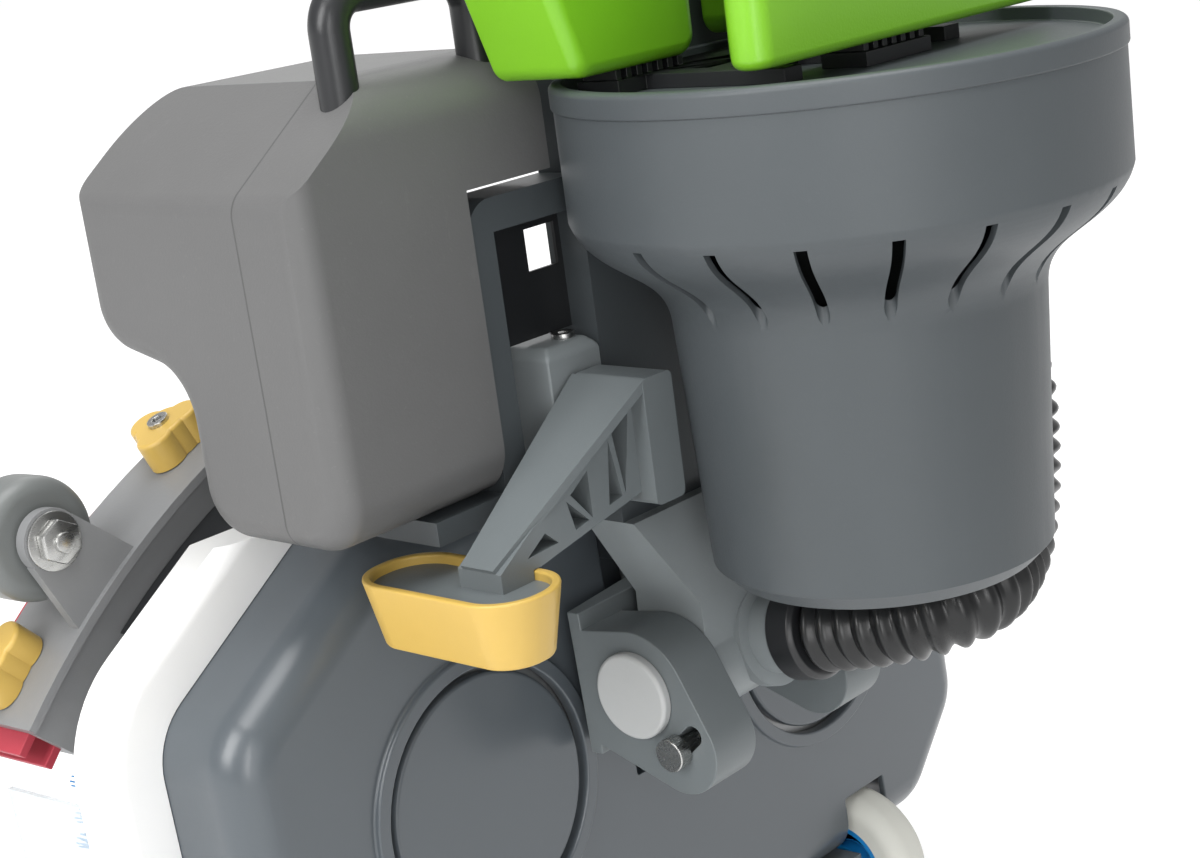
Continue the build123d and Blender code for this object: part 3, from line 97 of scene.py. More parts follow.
# camera at the photograph's angle
viewpoint = {
    "place": (-0.689, -0.570, 0.685),
    "forward": (0.694, 0.618, -0.370),
    "lens": 63.4,
    "sensor": 36.0,
    "nearest": 0.02,
}
cameraData = bpy.data.cameras.new("photoCamera")
cameraData.lens = viewpoint["lens"]
cameraData.sensor_width = viewpoint["sensor"]
cameraData.clip_start = viewpoint["nearest"]
camera = bpy.data.objects.new("photoCamera", cameraData)
scene.collection.objects.link(camera)
camera.location = viewpoint["place"]
camera.rotation_euler = aimed(viewpoint["forward"])
scene.camera = camera
scene.view_settings.view_transform = "Standard"
print("camera set")


# shader maths: a wrapped socket adds Math nodes as an expression is written
class Field:
    def __init__(self, paint, socket):
        self.paint = paint
        self.socket = socket

    def combine(self, operation, first, second=0.0):
        return self.paint.node("ShaderNodeMath", {"operation": operation}, {0: first, 1: second}, 0)

    def __add__(self, other):
        return self.combine("ADD", self, other)

    def __radd__(self, other):
        return self.combine("ADD", other, self)

    def __sub__(self, other):
        return self.combine("SUBTRACT", self, other)

    def __rsub__(self, other):
        return self.combine("SUBTRACT", other, self)

    def __mul__(self, other):
        return self.combine("MULTIPLY", self, other)

    def __rmul__(self, other):
        return self.combine("MULTIPLY", other, self)

    def __gt__(self, other):
        return self.combine("GREATER_THAN", self, other)

    def __lt__(self, other):
        return self.combine("LESS_THAN", self, other)

    def __abs__(self):
        return self.combine("ABSOLUTE", self)


# node tree of a material or of the world, with the shader that it feeds
class Paint:
    def __init__(self, owner, shader="Principled BSDF"):
        owner.use_nodes = True
        self.tree = owner.node_tree
        self.shader = self.tree.nodes[shader]

    def feed(self, socket, value):
        if isinstance(value, Field):
            self.tree.links.new(value.socket, socket)
        else:
            socket.default_value = value

    def pick(self, sockets, key):
        if isinstance(key, int):
            return sockets[key]
        return next(entry for entry in sockets if entry.enabled and key in (entry.identifier, entry.name))

    def node(self, kind, settings, sockets, output):
        made = self.tree.nodes.new(kind)
        for key, value in settings.items():
            setattr(made, key, value)
        for key, value in sockets.items():
            self.feed(self.pick(made.inputs, key), value)
        return Field(self, self.pick(made.outputs, output))

    def coords(self):
        return self.node("ShaderNodeTexCoord", {}, {}, "Object")

    def stretched(self, scale):
        return self.node("ShaderNodeMapping", {}, {"Vector": self.coords(), "Scale": scale}, "Vector")

    def noise(self, scale, detail, roughness, place=None):
        place = self.coords() if place is None else place
        sockets = {"Vector": place, "Scale": scale, "Detail": detail, "Roughness": roughness}
        return self.node("ShaderNodeTexNoise", {}, sockets, "Fac")

    def mix(self, share, first, second):
        sockets = {"Factor_Float": share, "A_Color": first, "B_Color": second}
        return self.node("ShaderNodeMix", {"data_type": "RGBA"}, sockets, "Result_Color")

    def bump(self, height, strength, distance):
        sockets = {"Strength": strength, "Distance": distance, "Height": height}
        return self.node("ShaderNodeBump", {}, sockets, "Normal")

    def ray(self, kind):
        return self.node("ShaderNodeLightPath", {}, {}, kind)

    def set(self, name, value):
        self.feed(self.shader.inputs[name], value)


def linear(red, green, blue):
    # a colour as it is seen, 0 to 255, turned into the shader's own scale by the standard screen curve
    parts = [part / 255 for part in (red, green, blue)]
    curved = [part / 12.92 if part <= 0.04045 else ((part + 0.055) / 1.055) ** 2.4 for part in parts]
    return (*curved, 1.0)


def shade(colour, amount):
    return (*(min(1.0, part * amount) for part in colour[:3]), 1.0)


# what all moulded plastics share unless a finish says otherwise
# a noise is given as its scale, detail and roughness, and it swings about 0.5
moulding = {
    "cloud": (14.0, 4.0, 0.6), "grain": (900.0, 2.0, 0.6), "speckle": (420.0, 3.0, 0.7),
    "speckleFrom": 0.66, "speckleTone": 1.5, "speckleHeight": 0.4, "variation": 0.10,
    "cloudGloss": 0.16, "grainGloss": 0.08, "bumpDepth": 0.00025, "ior": 1.48,
    "coat": 0.0, "coatRoughness": 0.2, "inside": 0.0, "insideReach": (0.004, 0.004, 0.004),
}


def partingLine(paint, seam):
    # a plane across the column that wanders a little, where the two halves of the mould met
    sockets = {0: paint.coords(), 1: tuple(columnRearwards)}
    across = paint.node("ShaderNodeVectorMath", {"operation": "DOT_PRODUCT"}, sockets, "Value")
    place = columnPoint(0, seam["rearward"], 0).dot(columnRearwards)
    wander = (paint.noise(*seam["wander"]) - 0.5) * seam["wanderReach"]
    return abs(across - place + wander) < seam["half"]


def rubMarks(paint, scuffs):
    # light streaks from handling, in patches
    streaks = paint.noise(*scuffs["streaks"], paint.stretched(scuffs["stretch"])) > scuffs["streaksFrom"]
    patches = paint.noise(*scuffs["patches"]) > scuffs["patchesFrom"]
    return streaks * patches * scuffs["share"]


def mouldedPlastic(name, finish):
    # plastic from a spark-eroded mould: fine grain in the bump, slow clouds in colour and gloss
    look = {**moulding, **finish}
    material = bpy.data.materials.new(name + "_finish")
    paint = Paint(material)
    colour = linear(*look["colour"])
    cloud = paint.noise(*look["cloud"])
    grain = paint.noise(*look["grain"])
    speckle = paint.noise(*look["speckle"])
    tone = paint.mix(cloud, shade(colour, 1 - look["variation"]), shade(colour, 1 + look["variation"]))
    fleck = (speckle > look["speckleFrom"]) * look["speckleShare"]
    tone = paint.mix(fleck, tone, shade(colour, look["speckleTone"]))
    height = grain + speckle * look["speckleHeight"]
    if "seam" in look:
        groove = partingLine(paint, look["seam"])
        tone = paint.mix(groove * look["seam"]["share"], tone, shade(colour, look["seam"]["tone"]))
        height = height - groove * look["seam"]["depth"]
    if "scuffs" in look:
        tone = paint.mix(rubMarks(paint, look["scuffs"]), tone, shade(colour, look["scuffs"]["tone"]))
    gloss = (cloud - 0.5) * look["cloudGloss"] + (grain - 0.5) * look["grainGloss"]
    paint.set("Base Color", tone)
    paint.set("Roughness", look["roughness"] + gloss)
    paint.set("Normal", paint.bump(height, look["bump"], look["bumpDepth"]))
    paint.set("IOR", look["ior"])
    paint.set("Coat Weight", look["coat"])
    paint.set("Coat Roughness", look["coatRoughness"])
    paint.set("Subsurface Weight", look["inside"])
    paint.set("Subsurface Radius", look["insideReach"])
    return material


tankSeam = {
    "rearward": 0.030, "half": 0.0005, "wander": (9.0, 2.0, 0.5), "wanderReach": 0.0008,
    "share": 0.55, "tone": 0.35, "depth": 3.0,
}
tankScuffs = {
    "streaks": (60.0, 6.0, 0.75), "stretch": (1.0, 1.0, 0.2), "streaksFrom": 0.62,
    "patches": (7.0, 2.0, 0.5), "patchesFrom": 0.55, "share": 0.10, "tone": 1.6,
}
finishes = {
    "shell_grey": {"colour": (70, 75, 78), "roughness": 0.46, "bump": 0.16, "speckleShare": 0.08},
    "deck_grey": {
        "colour": (78, 84, 89), "roughness": 0.34, "bump": 0.06, "speckleShare": 0.03,
        "variation": 0.06, "coat": 0.35,
    },
    "tank_grey": {
        "colour": (94, 94, 94), "roughness": 0.50, "bump": 0.32, "speckleShare": 0.16,
        "seam": tankSeam, "scuffs": tankScuffs,
    },
    "frame_grey": {"colour": (103, 109, 111), "roughness": 0.44, "bump": 0.16, "speckleShare": 0.06},
    "rim_white": {
        "colour": (240, 240, 239), "roughness": 0.38, "bump": 0.1, "speckleShare": 0.0, "variation": 0.02,
    },
    "accent_yellow": {
        "colour": (198, 165, 84), "roughness": 0.36, "bump": 0.15, "speckleShare": 0.05, "inside": 0.1,
    },
    "battery_green": {
        "colour": (118, 180, 36), "roughness": 0.32, "bump": 0.3, "speckleShare": 0.03, "variation": 0.05,
    },
    "blade_red": {
        "colour": (166, 52, 66), "roughness": 0.55, "bump": 0.2, "speckleShare": 0.05, "variation": 0.12,
    },
    "black_plastic": {
        "colour": (34, 35, 37), "roughness": 0.34, "bump": 0.14, "speckleShare": 0.05, "variation": 0.2,
    },
    "hose_black": {
        "colour": (24, 25, 26), "roughness": 0.30, "bump": 0.1, "speckleShare": 0.03, "variation": 0.25,
    },
    "grip_black": {
        "colour": (30, 31, 32), "roughness": 0.62, "bump": 0.4, "speckleShare": 0.05, "variation": 0.2,
    },
    "bristle_blue": {
        "colour": (36, 140, 205), "roughness": 0.28, "bump": 0.05, "speckleShare": 0.0, "inside": 0.2,
    },
    "hub_blue": {
        "colour": (28, 132, 200), "roughness": 0.32, "bump": 0.1, "speckleShare": 0.04, "variation": 0.06,
    },
    "tyre_grey": {
        "colour": (206, 206, 198), "roughness": 0.5, "bump": 0.18, "speckleShare": 0.05, "variation": 0.06,
    },
    "button_red": {"colour": (200, 40, 36), "roughness": 0.3, "bump": 0.08, "speckleShare": 0.02},
    "cap_grey": {"colour": (176, 178, 178), "roughness": 0.46, "bump": 0.16, "speckleShare": 0.05},
    "roller_grey": {"colour": (106, 109, 108), "roughness": 0.40, "bump": 0.12, "speckleShare": 0.06},
    "squeegee_grey": {"colour": (126, 127, 128), "roughness": 0.42, "bump": 0.16, "speckleShare": 0.06},
    # painted light: the frame's grey made lighter for the pedal block and the neck, to lift the shade in
    # their recess
    "frame_grey_lightened_for_shade": {"colour": (130, 136, 138), "roughness": 0.44, "bump": 0.16, "speckleShare": 0.06},
}
materials = {name: mouldedPlastic(name, finish) for name, finish in finishes.items()}

metalWork = {
    "lineDetail": (4.0, 0.7), "cloud": (30.0, 4.0, 0.6), "lineShare": 0.5, "dark": 0.88, "light": 1.08,
    "lineGloss": 0.12, "cloudGloss": 0.10, "bump": 0.04, "bumpDepth": 0.0001,
}
metals = {
    "steel": {
        "colour": (188, 188, 186), "roughness": 0.28, "lineScale": 60.0, "stretch": (1.0, 14.0, 14.0),
    },
    "tube_aluminium": {
        "colour": (206, 207, 208), "roughness": 0.32, "lineScale": 90.0, "stretch": (14.0, 14.0, 0.4),
    },
    "motor_metal": {
        "colour": (150, 151, 152), "roughness": 0.42, "lineScale": 70.0, "stretch": (6.0, 6.0, 1.0),
    },
}


def turnedMetal(name, finish):
    # drawn or turned metal, with fine lines along one axis of the piece
    look = {**metalWork, **finish}
    material = bpy.data.materials.new(name + "_finish")
    paint = Paint(material)
    colour = linear(*look["colour"])
    lines = paint.noise(look["lineScale"], *look["lineDetail"], paint.stretched(look["stretch"]))
    cloud = paint.noise(*look["cloud"])
    share = lines * look["lineShare"] + cloud * (1 - look["lineShare"])
    gloss = (lines - 0.5) * look["lineGloss"] + (cloud - 0.5) * look["cloudGloss"]
    paint.set("Base Color", paint.mix(share, shade(colour, look["dark"]), shade(colour, look["light"])))
    paint.set("Metallic", 1.0)
    paint.set("Roughness", look["roughness"] + gloss)
    paint.set("Normal", paint.bump(lines, look["bump"], look["bumpDepth"]))
    return material


materials.update({name: turnedMetal(name, finish) for name, finish in metals.items()})

skirt = {
    "colour": (214, 222, 224), "deep": (190, 204, 210), "roughness": 0.34, "alpha": 0.42,
    "cloud": (25.0, 4.0, 0.6), "scuff": (220.0, 5.0, 0.75), "scuffGloss": 0.3, "cloudAlpha": 0.15,
    "bump": 0.08, "bumpDepth": 0.0002,
}


def clearSkirt(name, look):
    # milky clear plastic sheet
    material = bpy.data.materials.new(name + "_finish")
    paint = Paint(material)
    cloud = paint.noise(*look["cloud"])
    scuff = paint.noise(*look["scuff"])
    paint.set("Base Color", paint.mix(cloud, linear(*look["colour"]), linear(*look["deep"])))
    paint.set("Roughness", look["roughness"] + (scuff - 0.5) * look["scuffGloss"])
    paint.set("Alpha", look["alpha"] + (cloud - 0.5) * look["cloudAlpha"])
    paint.set("Normal", paint.bump(scuff, look["bump"], look["bumpDepth"]))
    return material


materials["skirt_clear"] = clearSkirt("skirt_clear", skirt)
print("materials made:", len(materials))


def clearSelection():
    bpy.ops.object.select_all(action="DESELECT")


def activate(piece):
    clearSelection()
    piece.select_set(True)
    bpy.context.view_layer.objects.active = piece


def joinInto(piece, others):
    activate(piece)
    for other in others:
        other.select_set(True)
    bpy.ops.object.join()


def applyModifier(piece, kind, settings):
    activate(piece)
    modifier = piece.modifiers.new(kind.lower(), kind)
    for key, value in settings.items():
        setattr(modifier, key, value)
    bpy.ops.object.modifier_apply(modifier=modifier.name)


def breakEdges(piece, width, segments, degrees, miter="MITER_SHARP"):
    applyModifier(piece, "BEVEL", {
        "width": width, "segments": segments, "limit_method": "ANGLE",
        "angle_limit": math.radians(degrees), "miter_outer": miter,
    })


def cutAway(piece, cutter):
    applyModifier(piece, "BOOLEAN", {"operation": "DIFFERENCE", "object": cutter, "solver": "EXACT"})
    bpy.data.objects.remove(cutter)


def smoothByAngle(piece, degrees):
    activate(piece)
    bpy.ops.object.shade_smooth_by_angle(angle=math.radians(degrees))


def settle(piece, body, slotName, finish, *replaced):
    # applies the piece's place to its mesh, then hands it to the frame
    activate(piece)
    bpy.ops.object.transform_apply(location=True, rotation=True, scale=True)
    piece.data.materials.clear()
    piece.data.materials.append(materials[finish])
    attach(piece, body)
    if replaced:
        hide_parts(*replaced)
    return piece


# every CAD node gets its finish first: its slot's own, or the one named here
finishOf = {
    "deck_housing": "deck_grey", "motor_cover_right": "deck_grey", "motor_cover_left": "deck_grey",
    "pivot_cap": "cap_grey", "squeegee_frame": "squeegee_grey", "column_frame": "shell_grey",
    "squeegee_roller_right": "roller_grey", "squeegee_roller_left": "roller_grey",
    # painted light: the pedal block and the neck take the frame's grey made lighter, against the shade that
    # falls on them
    "pedal_block": "frame_grey_lightened_for_shade", "column_neck": "frame_grey_lightened_for_shade",
}
slotOf = {}
for name, node in nodes.items():
    slotOf[name] = node.material_slots[0].name.split(".")[0]
    finishOf.setdefault(name, slotOf[name])
    node.material_slots[0].link = "OBJECT"
    node.material_slots[0].material = materials[finishOf[name]]
print("nodes painted:", len(nodes))

# how far each moulded piece's sharp edges are broken, in metres
softEdges = {
    "deck_housing": 0.0012, "deck_rim": 0.0015, "squeegee_frame": 0.0012, "swivel_base": 0.0015,
    "column_neck": 0.0012, "column_frame": 0.0015, "pedal_block": 0.0015, "foot_pedal": 0.0010,
    "tank_right": 0.0015, "tank_left": 0.0015, "bucket_rim": 0.0008, "bucket": 0.0008,
    "axle_bracket": 0.0010, "handle_head": 0.0015, "suction_duct": 0.0012, "battery_front": 0.0012,
    "battery_right": 0.0012, "battery_left": 0.0012, "pivot_cap": 0.0006, "motor_cover_right": 0.0020,
    "motor_cover_left": 0.0020, "trigger": 0.0010, "battery_contacts": 0.0006,
    "squeegee_blade_front": 0.0005, "squeegee_blade_rear": 0.0005, "pedal_pad": 0.0012,
    "tank_handle_right": 0.0028, "tank_handle_left": 0.0028, "wheel_hub_right": 0.0008,
    "wheel_hub_left": 0.0008, "hose_cuff_lower": 0.0006, "hose_cuff_upper": 0.0006, "park_bolt": 0.0006,
}
softening = {
    "merge": 0.00001, "flatWithin": 0.8, "sharpFrom": 35.0, "segments": 2, "smooth": 40.0, "weight": 50,
}


def softenedCopy(name, width):
    # the node's own solid with its sharp edges broken, as a mould leaves them
    piece = bpy.data.objects.new(name + "_body", nodes[name].data.copy())
    scene.collection.objects.link(piece)
    activate(piece)
    bpy.ops.object.mode_set(mode="EDIT")
    bpy.ops.mesh.select_all(action="SELECT")
    bpy.ops.mesh.remove_doubles(threshold=softening["merge"])
    bpy.ops.mesh.dissolve_limited(angle_limit=math.radians(softening["flatWithin"]))
    bpy.ops.object.mode_set(mode="OBJECT")
    breakEdges(piece, width, softening["segments"], softening["sharpFrom"], "MITER_ARC")
    smoothByAngle(piece, softening["smooth"])
    # keeps the flat faces flat in the light, with the turn left to the broken edges
    weighting = {"mode": "FACE_AREA", "weight": softening["weight"], "keep_sharp": True}
    applyModifier(piece, "WEIGHTED_NORMAL", weighting)
    return settle(piece, nodes[name]["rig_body"], slotOf[name], finishOf[name], name)


softened = {name: softenedCopy(name, width) for name, width in softEdges.items()}
print("edges softened:", len(softEdges))

# suction hose: a ribbed tube on the smooth line of the route's points
hose = {
    "route": (
        (0.009, -0.05165, 0.0133), (0.009, -0.125, 0.0289), (0.100, -0.102, 0.031),
        (0.100, -0.102, 0.158), (0.100, -0.016, 0.158),
    ),
    "crest": 0.020, "valley": 0.0165, "ribs": 36, "fullness": 0.8,
    "routeSteps": 48, "ringsPerRib": 8, "around": 40, "smooth": 60.0,
}


def routeLine(points):
    curve = bpy.data.curves.new("hoseRoute", "CURVE")
    curve.dimensions = "3D"
    curve.resolution_u = hose["routeSteps"]
    spline = curve.splines.new("NURBS")
    spline.points.add(len(points) - 1)
    for point, place in zip(spline.points, points):
        point.co = (*place, 1.0)
    spline.order_u = 3
    spline.use_endpoint_u = True
    guide = bpy.data.objects.new("hoseRoute", curve)
    scene.collection.objects.link(guide)
    bpy.context.view_layer.update()
    line = bpy.data.meshes.new_from_object(guide)
    read = [vertex.co.copy() for vertex in line.vertices]
    bpy.data.meshes.remove(line)
    bpy.data.objects.remove(guide)
    return read


def evenPoints(line, count):
    # the same line read at equal steps of its length
    lengths = [0.0]
    for first, second in zip(line, line[1:]):
        lengths.append(lengths[-1] + (second - first).length)
    points, step = [], 0
    for number in range(count):
        target = lengths[-1] * number / (count - 1)
        while step < len(line) - 2 and lengths[step + 1] < target:
            step += 1
        share = (target - lengths[step]) / (lengths[step + 1] - lengths[step])
        points.append(line[step].lerp(line[step + 1], share))
    return points, lengths[-1]


def modelHose(points):
    around, last = hose["around"], len(points) - 1
    vertices, faces = [], []
    sideways = Vector((0, 0, 1)).cross(points[1] - points[0]).normalized()
    for number, point in enumerate(points):
        along = (points[min(number + 1, last)] - points[max(number - 1, 0)]).normalized()
        sideways = (sideways - along * sideways.dot(along)).normalized()
        upward = along.cross(sideways)
        wave = 0.5 - 0.5 * math.cos(2 * math.pi * number / hose["ringsPerRib"])
        reach = hose["valley"] + (hose["crest"] - hose["valley"]) * wave ** hose["fullness"]
        for turn in range(around):
            angle = 2 * math.pi * turn / around
            vertices.append(point + (sideways * math.cos(angle) + upward * math.sin(angle)) * reach)
    for ring in range(last):
        for turn in range(around):
            here, there = ring * around + turn, ring * around + (turn + 1) % around
            faces.append((here, there, there + around, here + around))
    faces.append(tuple(reversed(range(around))))
    faces.append(tuple(range(last * around, (last + 1) * around)))
    mesh = bpy.data.meshes.new("ribbedHose")
    mesh.from_pydata(vertices, [], faces)
    piece = bpy.data.objects.new("ribbedHose", mesh)
    scene.collection.objects.link(piece)
    activate(piece)
    bpy.ops.object.mode_set(mode="EDIT")
    bpy.ops.mesh.select_all(action="SELECT")
    bpy.ops.mesh.normals_make_consistent(inside=False)
    bpy.ops.object.mode_set(mode="OBJECT")
    smoothByAngle(piece, hose["smooth"])
    return settle(piece, "column", "hose_black", "hose_black", "suction_hose")


hoseLine = routeLine([columnPoint(*place) for place in hose["route"]])
hosePoints, hoseLength = evenPoints(hoseLine, hose["ribs"] * hose["ringsPerRib"] + 1)
ribbedHose = modelHose(hosePoints)
print("hose length:", round(hoseLength, 4))

# scrub brushes: each tuft is a fan of tapered filaments that splays a little towards the brush's edge
brush = {
    "spacing": 0.235, "plateBottom": -0.114, "plateRadius": 0.112, "plateSides": 72, "backing": 0.002,
    "rings": 5, "firstRing": 0.060, "ringStep": 0.0118, "firstCount": 24, "countStep": 6,
    "length": 0.042, "filaments": 9, "filamentRadius": 0.0007, "tipShare": 0.55, "filamentSides": 5,
    "tuftRadius": 0.0012, "fan": 0.045, "splay": 0.10, "stray": 0.05, "smooth": 50.0,
}


def modelTuft():
    strands = []
    for number in range(brush["filaments"]):
        clearSelection()
        bpy.ops.mesh.primitive_cone_add(
            vertices=brush["filamentSides"], radius1=brush["filamentRadius"] * brush["tipShare"],
            radius2=brush["filamentRadius"], depth=brush["length"], end_fill_type="NGON",
            location=(0, 0, -brush["length"] / 2),
        )
        strand = bpy.context.object
        bpy.ops.object.transform_apply(location=True, rotation=False, scale=False)
        if number:  # the first filament stands in the middle
            turn = 2 * math.pi * number / (brush["filaments"] - 1)
            strand.rotation_euler = (brush["fan"] * math.sin(turn), -brush["fan"] * math.cos(turn), 0)
            strand.location = (brush["tuftRadius"] * math.cos(turn), brush["tuftRadius"] * math.sin(turn), 0)
        strands.append(strand)
    joinInto(strands[0], strands[1:])
    return strands[0]


def plantTufts(tuft, middle):
    planted = []
    for ring in range(brush["rings"]):
        radius = brush["firstRing"] + ring * brush["ringStep"]
        count = brush["firstCount"] + ring * brush["countStep"]
        splay = brush["splay"] * (ring + 1) / brush["rings"]
        for number in range(count):
            angle = 2 * math.pi * number / count
            across, rearward = radius * math.cos(angle), radius * math.sin(angle)
            root = deckPoint(middle + across, rearward, brush["plateBottom"])
            stray = [random.uniform(-brush["stray"], brush["stray"]) for axis in range(2)]
            lean = Matrix.Rotation(stray[0], 4, "X") @ Matrix.Rotation(stray[1] - splay, 4, "Y")
            copied = bpy.data.objects.new("tuftCopy", tuft.data.copy())
            scene.collection.objects.link(copied)
            copied.matrix_world = Matrix.Translation(root) @ brushAxes @ Matrix.Rotation(angle, 4, "Z") @ lean
            planted.append(copied)
    return planted


tuft = modelTuft()
brushAxes = Matrix((Vector((1, 0, 0)), deckRearwards, deckOutwards)).transposed().to_4x4()
for sideName, side in sides.items():
    middle = side * brush["spacing"] / 2
    tufts = plantTufts(tuft, middle)
    clearSelection()
    bpy.ops.mesh.primitive_cylinder_add(
        vertices=brush["plateSides"], radius=brush["plateRadius"], depth=brush["backing"],
    )
    disc = bpy.context.object
    discPlace = deckPoint(middle, 0, brush["plateBottom"] + brush["backing"] / 2)
    disc.matrix_world = Matrix.Translation(discPlace) @ brushAxes
    joinInto(disc, tufts)
    disc.name = "bristles_" + sideName
    smoothByAngle(disc, brush["smooth"])
    settle(disc, "brush_" + sideName, "bristle_blue", "bristle_blue", "brush_bristles_" + sideName)
bpy.data.objects.remove(tuft)
print("bristles made")


def addCylinder(name, around, radius, depth, place, direction):
    # a cylinder along the given direction, with its middle at the place
    clearSelection()
    turn = direction.to_track_quat("Z", "Y").to_euler()
    bpy.ops.mesh.primitive_cylinder_add(
        vertices=around, radius=radius, depth=depth, location=place, rotation=turn,
    )
    piece = bpy.context.object
    piece.name = name
    return piece


def addBlock(name, size, middle, turn):
    clearSelection()
    bpy.ops.mesh.primitive_cube_add(size=1.0, location=middle)
    piece = bpy.context.object
    piece.name = name
    piece.scale = size
    piece.rotation_euler = turn
    return piece


# button-head screws with a hexagon socket, on the knobs and the pedal block
screw = {
    "radius": 0.0052, "head": 0.0030, "around": 28, "sink": 0.0008,
    "socket": 0.0026, "socketDepth": 0.0020, "socketSides": 6,
    "edge": 0.0010, "edgeSegments": 3, "edgeFrom": 60.0, "smooth": 35.0,
    "onBlock": (-0.068, 0.009, 0.164),
}
# the squeegee's arch, where the knobs stand: angles from its middle in degrees
arch = {"radius": 0.3953, "centre": -0.183, "level": -0.130, "knobs": {"inner": 23.4, "outer": 42.5}}


def modelScrew(name, place, outward, body):
    top = screw["head"] - screw["sink"]
    middle = place + outward * (screw["head"] / 2 - screw["sink"])
    head = addCylinder(name, screw["around"], screw["radius"], screw["head"], middle, outward)
    # half of the cutter stands out of the head
    cutter = addCylinder(
        name + "_socket", screw["socketSides"], screw["socket"], 2 * screw["socketDepth"],
        place + outward * top, outward,
    )
    cutAway(head, cutter)
    breakEdges(head, screw["edge"], screw["edgeSegments"], screw["edgeFrom"])
    smoothByAngle(head, screw["smooth"])
    settle(head, body, "steel", "steel")


for sideName, side in sides.items():
    for place, degrees in arch["knobs"].items():
        turn = math.radians(side * degrees)
        outward = Vector((math.sin(turn), 0, 0)) + deckRearwards * math.cos(turn)
        knobTop = deckPoint(0, arch["centre"], arch["level"]) + outward * arch["radius"]
        knob = nodes[f"squeegee_knob_{place}_{sideName}"]
        modelScrew(f"knob_screw_{place}_{sideName}", knobTop, outward, knob["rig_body"])
modelScrew("block_screw", columnPoint(*screw["onBlock"]), columnUpwards, "column")
print("screws made")

# bolt heads, washers and stud ends on the roller arms, from the arm's face outwards
rollerBolt = {
    "across": 0.2404, "rearward": 0.1528, "level": -0.100,
    "washer": 0.0128, "washerHeight": 0.0016, "washerAround": 40, "washerEdge": 0.0004,
    "radius": 0.0100, "height": 0.0060, "headSides": 6, "edge": 0.0009,
    "stud": 0.0046, "studHeight": 0.0030, "studShown": 0.0012, "studAround": 24,
    "edgeSegments": 2, "edgeFrom": 40.0, "smooth": 35.0,
}


def boltPiece(name, around, radius, depth, place, edge):
    piece = addCylinder(name, around, radius, depth, place, deckOutwards)
    breakEdges(piece, edge, rollerBolt["edgeSegments"], rollerBolt["edgeFrom"])
    return piece


for sideName, side in sides.items():
    foot = deckPoint(side * rollerBolt["across"], rollerBolt["rearward"], rollerBolt["level"])
    headFoot = rollerBolt["washerHeight"]
    headTop = headFoot + rollerBolt["height"]
    washer = boltPiece(
        "roller_washer_" + sideName, rollerBolt["washerAround"], rollerBolt["washer"], headFoot,
        foot + deckOutwards * headFoot / 2, rollerBolt["washerEdge"],
    )
    head = boltPiece(
        "roller_bolt_" + sideName, rollerBolt["headSides"], rollerBolt["radius"], rollerBolt["height"],
        foot + deckOutwards * (headFoot + headTop) / 2, rollerBolt["edge"],
    )
    stud = boltPiece(
        "roller_stud_" + sideName, rollerBolt["studAround"], rollerBolt["stud"], rollerBolt["studHeight"],
        foot + deckOutwards * (headTop + rollerBolt["studShown"]), rollerBolt["edge"],
    )
    joinInto(head, (washer, stud))
    smoothByAngle(head, rollerBolt["smooth"])
    settle(head, "deck", "steel", "steel")
print("roller bolts made")

# thin black plate set in the upper part of each hanger's opening, with its small window; its black is painted
# shade, a dark sheet standing for the shade inside the opening
panel = {
    "inner": 0.0555, "outer": 0.1085, "top": 0.2185, "bottom": {"right": 0.1660, "left": 0.1840},
    "front": 0.0145, "back": 0.0160, "window": 0.018, "windowPlace": (0.068, 0.203), "windowDepth": 0.02,
    "windowEdge": 0.004, "edgeSegments": 4, "edgeFrom": 60.0, "smooth": 35.0,
}
columnTurn = Matrix((Vector((1, 0, 0)), columnRearwards, columnUpwards)).transposed().to_euler()
for sideName, side in sides.items():
    bottom = panel["bottom"][sideName]
    plateMiddle = columnPoint(
        side * (panel["inner"] + panel["outer"]) / 2, (panel["front"] + panel["back"]) / 2,
        (bottom + panel["top"]) / 2,
    )
    plateSize = (panel["outer"] - panel["inner"], panel["back"] - panel["front"], panel["top"] - bottom)
    shadePanel = addBlock("hanger_shade_panel_" + sideName, plateSize, plateMiddle, columnTurn)
    windowAcross, windowUp = panel["windowPlace"]
    windowMiddle = columnPoint(side * windowAcross, panel["front"], windowUp)
    windowSize = (panel["window"], panel["windowDepth"], panel["window"])
    window = addBlock("facing_window", windowSize, windowMiddle, columnTurn)
    breakEdges(window, panel["windowEdge"], panel["edgeSegments"], panel["edgeFrom"])
    cutAway(shadePanel, window)
    smoothByAngle(shadePanel, panel["smooth"])
    # painted shade: the plate is black for the shade that fills the opening
    settle(shadePanel, "column", "black_plastic", "black_plastic")
print("hanger facings made")

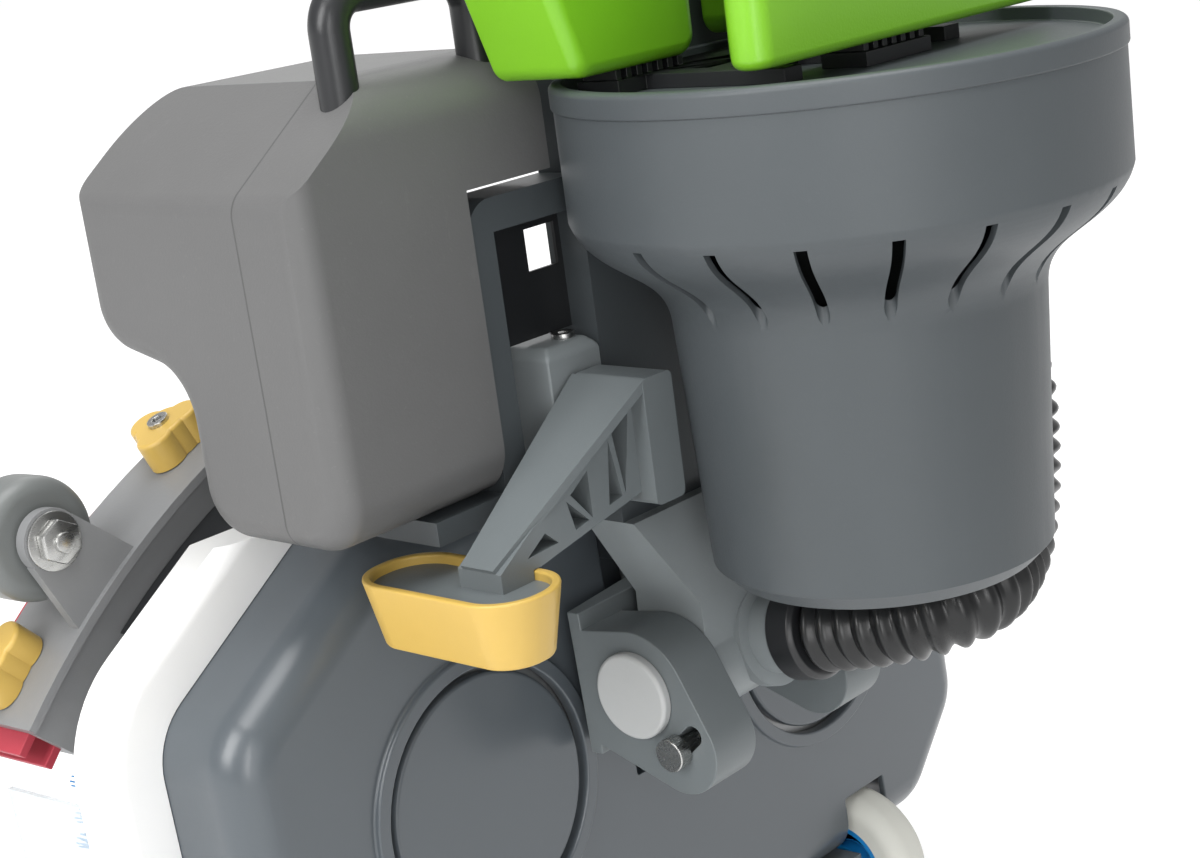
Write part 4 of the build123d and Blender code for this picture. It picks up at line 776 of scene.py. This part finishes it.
# floor: it glows for the camera, in reflections and through clear pieces, and still keeps the shadow
# world: white where it is seen, dimmer as light on the object
studio = {
    "floorSize": 30.0, "floorDrop": 0.0005, "floorShade": 0.9, "floorRoughness": 0.9,
    "floorGlow": 1.35, "floorGlowShare": 0.55, "worldLight": 0.50,
}
clearSelection()
bpy.ops.mesh.primitive_plane_add(size=studio["floorSize"], location=(0, 0, -studio["floorDrop"]))
floor = bpy.context.object
floor.name = "studioFloor"
floorMaterial = bpy.data.materials.new("studio_floor")
floorPaint = Paint(floorMaterial)
floorPaint.set("Base Color", (studio["floorShade"],) * 3 + (1.0,))
floorPaint.set("Roughness", studio["floorRoughness"])
shown = floorPaint.ray("Is Camera Ray") + floorPaint.ray("Is Glossy Ray")
shown = shown + floorPaint.ray("Is Transmission Ray")
surface = Field(floorPaint, floorPaint.shader.outputs["BSDF"])
glow = floorPaint.node("ShaderNodeEmission", {}, {"Strength": studio["floorGlow"]}, "Emission")
glowing = floorPaint.node(
    "ShaderNodeMixShader", {}, {0: shown * studio["floorGlowShare"], 1: surface, 2: glow}, "Shader",
)
floorPaint.feed(floorPaint.tree.nodes["Material Output"].inputs["Surface"], glowing)
floor.data.materials.append(floorMaterial)

scene.world = bpy.data.worlds.new("studioWorld")
worldPaint = Paint(scene.world, "Background")
shown = worldPaint.ray("Is Camera Ray") + worldPaint.ray("Is Transmission Ray")
worldPaint.set("Color", (1, 1, 1, 1))
worldPaint.set("Strength", studio["worldLight"] + shown * (1 - studio["worldLight"]))

lamps = {
    "keyLeft": {"place": (-2.0, 0.1, 1.5), "aim": (0, 0, 0.3), "size": (0.9, 1.6), "power": 36.0},
    "topSoft": {"place": (-0.2, 0.1, 2.4), "aim": (0, 0, 0.3), "size": (1.5, 1.5), "power": 42.0},
    "frontStrip": {"place": (-1.5, -1.6, 1.2), "aim": (0, 0, 0.2), "size": (0.35, 1.5), "power": 9.0},
    "frontFill": {"place": (-1.1, -1.5, 0.8), "aim": (0, 0, 0.35), "size": (1.2, 1.2), "power": 6.0},
    "backEdge": {"place": (1.2, 1.6, 1.6), "aim": (0, 0, 0.4), "size": (1.2, 1.2), "power": 10.0},
}
for name, lamp in lamps.items():
    lampData = bpy.data.lights.new(name, "AREA")
    lampData.shape = "RECTANGLE"
    lampData.size, lampData.size_y = lamp["size"]
    lampData.energy = lamp["power"]
    lampObject = bpy.data.objects.new(name, lampData)
    scene.collection.objects.link(lampObject)
    lampObject.location = lamp["place"]
    lampObject.rotation_euler = aimed(Vector(lamp["aim"]) - Vector(lamp["place"]))
print("studio lit")

clearSelection()
